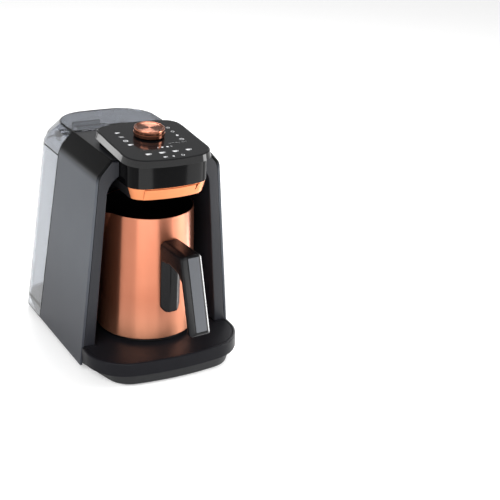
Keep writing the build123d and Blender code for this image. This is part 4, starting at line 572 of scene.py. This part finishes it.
# Lamps and light cards in metres: name, place, aim, share of the key lamp's power, width, height
MACHINE = (0, 0, 0.1)
LAMPS = (
    ("key_lamp", (-1.3, -0.9, 1.5), MACHINE, 1.0, 1.9, 1.0),
    ("fill_lamp", (1.5, -0.7, 0.6), MACHINE, 0.5, 0.65, 1.1),
    ("top_lamp", (0.35, 0.75, 1.35), MACHINE, 0.5, 0.6, None),
    ("rim_card", (-0.271, 0.36, 0.173), (-0.042, -0.03, 0.207), 0.0012, 0.042, 0.08),
    ("front_card", (-0.117, -0.308, 0.09), (-0.02, -0.072, 0.19), 0.0115, 0.27, 0.08),
    ("right_card", (0.25, -0.21, 0.08), (0.02, -0.073, 0.187), 0.009, 0.22, 0.1),
    ("grip_card", (0.121, -0.04, 0.05), (0.016, -0.105, 0.09), 0.0032, 0.05, 0.1),
)

# Camera: place in millimetres, angles in degrees, focal length in pixels of a frame this many pixels wide
CAMERA = {"place": (-414.302, -909.309, 517.387), "turn": -30.6445, "drop": 22.8625, "roll": 3.2308,
          "focal_px": 1131.33, "frame_px": 500}
SENSOR = 36.0       # millimetres
NEAR, FAR = 0.01, 100.0


def lamp(name, place, aim, power, size, tall=None):
    """Adds one soft area lamp that points at a spot, square where no height is given."""
    bpy.ops.object.light_add(type="AREA", location=place)
    made = bpy.context.object
    made.name = made.data.name = name
    made.data.energy = power
    made.data.size = size
    if tall:
        made.data.shape = "RECTANGLE"
        made.data.size_y = tall
    made.visible_camera = False
    made.rotation_euler = (Vector(aim) - Vector(place)).to_track_quat("-Z", "Y").to_euler()
    return made


def pale(name, grey, glow, far_glow):
    """Matt white of the studio. It shows as white, mirrors itself as white, and still takes shadows."""
    made, tree, body = shader(name, Roughness=0.9, Specular_IOR_Level=0.1,
                              Base_Color=(grey, grey, grey, 1))
    place = add(tree, "ShaderNodeTexCoord").outputs["Object"]
    away = add(tree, "ShaderNodeVectorMath", {"operation": "LENGTH"}, {0: place})
    level = add(tree, "ShaderNodeMapRange",
                {"From Min": GLOW_FROM, "From Max": GLOW_TO, "To Min": glow, "To Max": far_glow},
                {"Value": away.outputs["Value"]})
    path = add(tree, "ShaderNodeLightPath")
    seen = add(tree, "ShaderNodeMath", {"operation": "MAXIMUM"},
               {0: path.outputs["Is Camera Ray"], 1: path.outputs["Is Glossy Ray"]})
    through = add(tree, "ShaderNodeMath", {"operation": "MAXIMUM"},
                  {0: seen.outputs["Value"], 1: path.outputs["Is Transmission Ray"]})
    shown = add(tree, "ShaderNodeMath", {"operation": "MULTIPLY"},
                {0: through.outputs["Value"], 1: level.outputs["Result"]})
    body.inputs["Emission Color"].default_value = (1, 1, 1, 1)
    tree.links.new(shown.outputs["Value"], body.inputs["Emission Strength"])
    return made


def camera_matrix():
    """Place and direction of the camera from its turn about the upright, its drop and its roll."""
    turn, drop, roll = (math.radians(CAMERA[key]) for key in ("turn", "drop", "roll"))
    ahead = Vector((-math.sin(turn) * math.cos(drop), math.cos(turn) * math.cos(drop), -math.sin(drop)))
    right = Vector((math.cos(turn), math.sin(turn), 0))
    up = right.cross(ahead)
    right, up = (math.cos(roll) * right + math.sin(roll) * up,
                 -math.sin(roll) * right + math.cos(roll) * up)
    return Matrix((
        (right.x, up.x, -ahead.x, CAMERA["place"][0] * MM),
        (right.y, up.y, -ahead.y, CAMERA["place"][1] * MM),
        (right.z, up.z, -ahead.z, CAMERA["place"][2] * MM),
        (0, 0, 0, 1),
    ))


class COFFEE_OT_stage(bpy.types.Operator):
    """Adds the floor, the pale wall far behind it, the lamps, the room light and the camera"""

    bl_idname = "coffee.stage"
    bl_label = "Studio"

    def execute(self, context):
        sizes = context.scene.coffee_stage
        bpy.ops.object.select_all(action="DESELECT")
        bpy.ops.mesh.primitive_plane_add(size=sizes.floor_size, location=(0, 0, 0))
        floor = context.object
        floor.name = "floor"
        paint(floor, pale("pale_floor", sizes.floor_grey, FLOOR_GLOW, FLOOR_FAR_GLOW))
        bpy.ops.mesh.primitive_cylinder_add(vertices=96, radius=sizes.floor_size / 2, depth=WALL_HEIGHT,
                                            end_fill_type="NOTHING", location=(0, 0, WALL_HEIGHT / 2))
        wall = context.object
        wall.name = "far_wall"
        paint(wall, pale("pale_wall", sizes.floor_grey, WALL_GLOW, WALL_GLOW))
        world = bpy.data.worlds.new("room")
        context.scene.world = world
        world.use_nodes = True
        tree = world.node_tree
        tree.nodes.clear()
        sky = add(tree, "ShaderNodeBackground", {"Color": (1, 1, 1, 1), "Strength": sizes.sky})
        add(tree, "ShaderNodeOutputWorld", None, {"Surface": sky.outputs["Background"]})
        for name, place, aim, share, wide, tall in LAMPS:
            lamp(name, place, aim, sizes.key * share, wide, tall)
        view = bpy.data.cameras.new("camera")
        view.sensor_fit = "HORIZONTAL"
        view.sensor_width = SENSOR
        view.lens = SENSOR * CAMERA["focal_px"] / CAMERA["frame_px"]
        view.clip_start, view.clip_end = NEAR, FAR
        eye = bpy.data.objects.new("camera", view)
        context.scene.collection.objects.link(eye)
        eye.matrix_world = camera_matrix()
        context.scene.camera = eye
        context.scene.view_settings.view_transform = "Standard"
        return {"FINISHED"}


# ---------------------------------------------------------------- pieces
class COFFEE_OT_casing(bpy.types.Operator):
    """Softens and finishes the side panels, the columns with their bay, the deck and the rear wall"""

    bl_idname = "coffee.casing"
    bl_label = "Casing"

    def execute(self, context):
        edge = context.scene.coffee_settings.casing_edge / MM
        for name in ("side_panel_left", "side_panel_right", "front_frame"):
            softened(name, edge)
        dress("top_deck", "rear_wall")
        return {"FINISHED"}


class COFFEE_OT_base(bpy.types.Operator):
    """Softens and finishes the tub and the tray, and finishes the feet and what holds them"""

    bl_idname = "coffee.base"
    bl_label = "Base and tray"

    def execute(self, context):
        edge = context.scene.coffee_settings.casing_edge / MM
        softened("tray_body", edge)
        softened("base_plinth", edge)
        dress("tray_plate", "base_screws", "cord_gland", "tank_seat",
              "rubber_foot_front_left", "rubber_foot_front_right",
              "rubber_foot_rear_left", "rubber_foot_rear_right")
        return {"FINISHED"}


class COFFEE_OT_head(bpy.types.Operator):
    """Softens and finishes the head, its glass and the copper skirt"""

    bl_idname = "coffee.head"
    bl_label = "Head"

    def execute(self, context):
        softened("head_housing", HEAD_EDGE)
        softened("skirt_front_plate", THIN_EDGE)
        paint(NODES["head_bezel"], polished_abs())
        dress("control_glass", "copper_skirt", "underside_plate", "water_spout", "foam_sensor",
              "control_board", "board_screws")
        return {"FINISHED"}


# Marks on the glass in millimetres from the knob's axis: kind, across, along and size
MARKS = (
    ("cup", -25.5, 13.3, 1.3), ("steam", -25.5, 3.2, 1.5),
    ("clock", -25.5, -6.3, 1.5), ("cup", -25.5, -16.0, 1.4),
    ("clock", 25.0, 13.3, 1.2), ("hoop", 25.0, 3.2, 1.2),
    ("drop", 25.0, -6.3, 1.3), ("clock", 25.0, -16.0, 1.4),
    ("dot", -4.7, -28.9, 0.6), ("dot", -0.4, -28.9, 1.2),
    ("dot", 4.6, -28.9, 1.3), ("hoop", 8.4, -28.9, 0.6),
    ("cup", -19.3, -40.4, 1.6), ("cup", -6.4, -40.4, 1.6),
    ("cup", 6.4, -40.4, 1.6), ("cup", 19.3, -40.4, 1.6),
    ("cup", -7.5, -50.1, 1.1), ("drop", 0.6, -50.1, 1.0), ("hoop", 9.6, -50.1, 1.2),
    ("line", 18.0, -22.2, 1.0),
)


def bar(across, along, wide, tall, foot=1.0, turn=0.0):
    """Flat bar of a mark: a plane, narrowed at its foot and turned, in millimetres."""
    bpy.ops.mesh.primitive_plane_add(size=MM, location=(0, 0, 0))
    piece = started("mark_bar")
    bpy.ops.transform.resize(value=(wide, tall, 1))
    bpy.ops.object.mode_set(mode="OBJECT")
    for point in piece.data.vertices:
        if point.co.y < 0:
            point.co.x *= foot
    piece.matrix_world = Matrix.Translation((across * MM, along * MM, 0)) @ Matrix.Rotation(turn, 4, "Z")
    bpy.ops.object.transform_apply(location=True, rotation=True, scale=True)
    return piece


def disc(across, along, radius, width=None, sides=20):
    """Flat disc of a mark, or a hoop where a width is given, in millimetres."""
    bpy.ops.mesh.primitive_circle_add(vertices=sides, radius=radius * MM, fill_type="NGON",
                                      location=(across * MM, along * MM, 0))
    bpy.ops.object.transform_apply(location=True)
    piece = started("mark_disc")
    if width:
        bpy.ops.mesh.inset(thickness=width * MM)
        bpy.ops.mesh.delete(type="FACE")
    bpy.ops.object.mode_set(mode="OBJECT")
    return piece


def mark(kind, x, y, size):
    """The flat pieces of one mark, by its kind."""
    if kind == "cup":
        return [bar(x, y, 2.7 * size, 1.9 * size, 0.72),
                disc(x + 1.5 * size, y + 0.2 * size, 0.75 * size, 0.3 * size)]
    if kind == "steam":
        return [bar(x + step * 0.9 * size, y, 0.35 * size, 2.2 * size, 0.8, 0.3) for step in (-1, 0, 1)]
    if kind == "clock":
        return [disc(x, y, 1.5 * size, 0.35 * size), bar(x, y + 0.4 * size, 0.3 * size, 0.9 * size),
                bar(x + 0.35 * size, y, 0.8 * size, 0.3 * size)]
    if kind == "drop":
        return [disc(x, y - 0.3 * size, 1.0 * size), bar(x, y + 0.9 * size, 0.3 * size, 1.3 * size, 4.6)]
    if kind == "hoop":
        return [disc(x, y, 1.4 * size, 0.35 * size)]
    if kind == "dot":
        return [disc(x, y, 0.9 * size)]
    return [bar(x + step * 6.2, y, 5.2 * size, 0.16 * size) for step in (-1, 0, 1)]


class COFFEE_OT_print(bpy.types.Operator):
    """Prints the touch fields' plain marks on the glass: cups, clocks, hoops, dots, drops, steam and a line"""

    bl_idname = "coffee.print"
    bl_label = "Marks on the glass"

    def execute(self, context):
        flat = [piece for row in MARKS for piece in mark(*row)]
        bpy.ops.object.select_all(action="DESELECT")
        for piece in flat:
            piece.select_set(True)
        context.view_layer.objects.active = flat[0]
        bpy.ops.object.join()
        piece = started("panel_print")
        bpy.ops.mesh.extrude_region_move(
            TRANSFORM_OT_translate={"value": (0, 0, context.scene.coffee_settings.print_height)})
        closed(piece, GLASS @ Matrix.Translation((0, 0, GLASS_TOP + PRINT_LIFT)))
        paint(piece, panel_ink())
        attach(piece, BODY_OF["control_glass"])
        return {"FINISHED"}


# Outline of the dial in millimetres, radius and height: from the middle of its underside, round its rim,
# to the middle of its dish. An edge sharper than the angle, in degrees, stays crisp.
DIAL_ANGLE = 25
DIAL = (
    (0.4, 7.2), (11.8, 7.2), (11.8, 5.3), (13.8, 5.3), (14.0, 5.45), (14.0, 7.7), (13.93, 8.15), (13.7, 8.52),
    (13.35, 8.74), (12.95, 8.8), (12.55, 8.72), (12.2, 8.5), (11.9, 8.22), (11.5, 8.1), (9.5, 8.03),
    (7.0, 7.97), (4.5, 7.93), (2.0, 7.91), (0.4, 7.9),
)


class COFFEE_OT_knob(bpy.types.Operator):
    """Turns the dial of the knob, and finishes its ring and the encoder under it"""

    bl_idname = "coffee.knob"
    bl_label = "Knob"

    def execute(self, context):
        dress("knob_hub", "encoder_body", "encoder_shaft", "encoder_plunger")
        dial = closed(turned("knob_dial", DIAL), GLASS, DIAL_ANGLE)
        paint(dial, polished_copper(), turned_copper())
        for face in dial.data.polygons:
            face.material_index = 1 if face.normal.dot(KNOB_AXIS) > TURNED_LEAST else 0
        seated(dial, "knob_cap")
        paint(NODES["knob_ring"], dial.data.materials[0])
        return {"FINISHED"}


class COFFEE_OT_works(bpy.types.Operator):
    """Finishes the heater, the pump, the hoses and the mains board"""

    bl_idname = "coffee.works"
    bl_label = "Inner works"

    def execute(self, context):
        dress("heater_plate", "heating_element", "heater_bracket", "thermal_cutout",
              "water_pump", "inlet_tube", "pressure_tube", "power_board")
        return {"FINISHED"}


class COFFEE_OT_pot(bpy.types.Operator):
    """Gives the pot its plated outside and coated inside, and softens and finishes its handle"""

    bl_idname = "coffee.pot"
    bl_label = "Pot"

    def execute(self, context):
        shell = softened("pot_body", THIN_EDGE)
        paint(shell, finish_for("copper_pot"), finish_for("hot_plate"))
        _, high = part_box("pot_body")
        axis = Vector((0, POT_Y, 0))
        for face in shell.data.polygons:
            out = face.center - axis
            out.z = 0
            inward = face.normal.dot(out.normalized()) < OUTWARD_MOST
            floor = face.normal.z > UPWARD_LEAST and face.center.z < high.z - FLOOR_DEPTH * MM
            coated = (inward or floor) and face.center.z < high.z - BARE_RIM * MM
            face.material_index = 1 if coated else 0
        sizes = context.scene.coffee_settings
        grip = moulded("handle_grip", ("pot_handle", "handle_insert"),
                       sizes.handle_voxel / MM, sizes.handle_passes)
        paint(grip, grip_finish())
        dress("pot_base_disc", "handle_bracket", "handle_screw")
        return {"FINISHED"}


class COFFEE_OT_tank(bpy.types.Operator):
    """Softens and finishes the water tank and its lid, and finishes the valve"""

    bl_idname = "coffee.tank"
    bl_label = "Water tank"

    def execute(self, context):
        # painted shade: the tank's and lid's rounded edges take a near-black finish
        rim = painted_edge_shade()
        softened("water_tank", THIN_EDGE, rim=rim)
        softened("tank_lid", THIN_EDGE, rim=rim)
        dress("lid_tab", "lid_hinge_pins", "tank_filter", "valve_body", "valve_plunger", "valve_seal")
        spring = copied("valve_spring")
        paint(spring, finish_for(SLOT_OF["valve_spring"]))
        seated(spring, "valve_spring")
        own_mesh(spring)
        return {"FINISHED"}


class COFFEE_PT_panel(bpy.types.Panel):
    """Lists the coffee maker's pieces"""

    bl_label = "Coffee maker"
    bl_idname = "COFFEE_PT_panel"
    bl_space_type = "VIEW_3D"
    bl_region_type = "UI"
    bl_category = "Coffee maker"

    def draw(self, context):
        for operator in OPERATORS:
            self.layout.operator(operator.bl_idname)
        for name in ("casing_edge", "handle_voxel", "handle_passes", "print_height"):
            self.layout.prop(context.scene.coffee_settings, name)
        for name in ("floor_size", "floor_grey", "sky", "key"):
            self.layout.prop(context.scene.coffee_stage, name)


OPERATORS = (COFFEE_OT_casing, COFFEE_OT_base, COFFEE_OT_head, COFFEE_OT_print, COFFEE_OT_knob,
             COFFEE_OT_works, COFFEE_OT_pot, COFFEE_OT_tank, COFFEE_OT_stage)
CLASSES = (CoffeeSettings, StageSettings, *OPERATORS, COFFEE_PT_panel)


def register():
    """Registers the classes, and hangs the settings on the scene."""
    for item in CLASSES:
        bpy.utils.register_class(item)
    bpy.types.Scene.coffee_settings = bpy.props.PointerProperty(type=CoffeeSettings)
    bpy.types.Scene.coffee_stage = bpy.props.PointerProperty(type=StageSettings)


def unregister():
    """Takes off what register put on."""
    del bpy.types.Scene.coffee_stage
    del bpy.types.Scene.coffee_settings
    for item in reversed(CLASSES):
        bpy.utils.unregister_class(item)


def main():
    """Registers the add-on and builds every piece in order."""
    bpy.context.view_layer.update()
    register()
    for name in ("casing", "base", "head", "print", "knob", "works", "pot", "tank", "stage"):
        getattr(bpy.ops.coffee, name)()


if __name__ == "__main__":
    main()
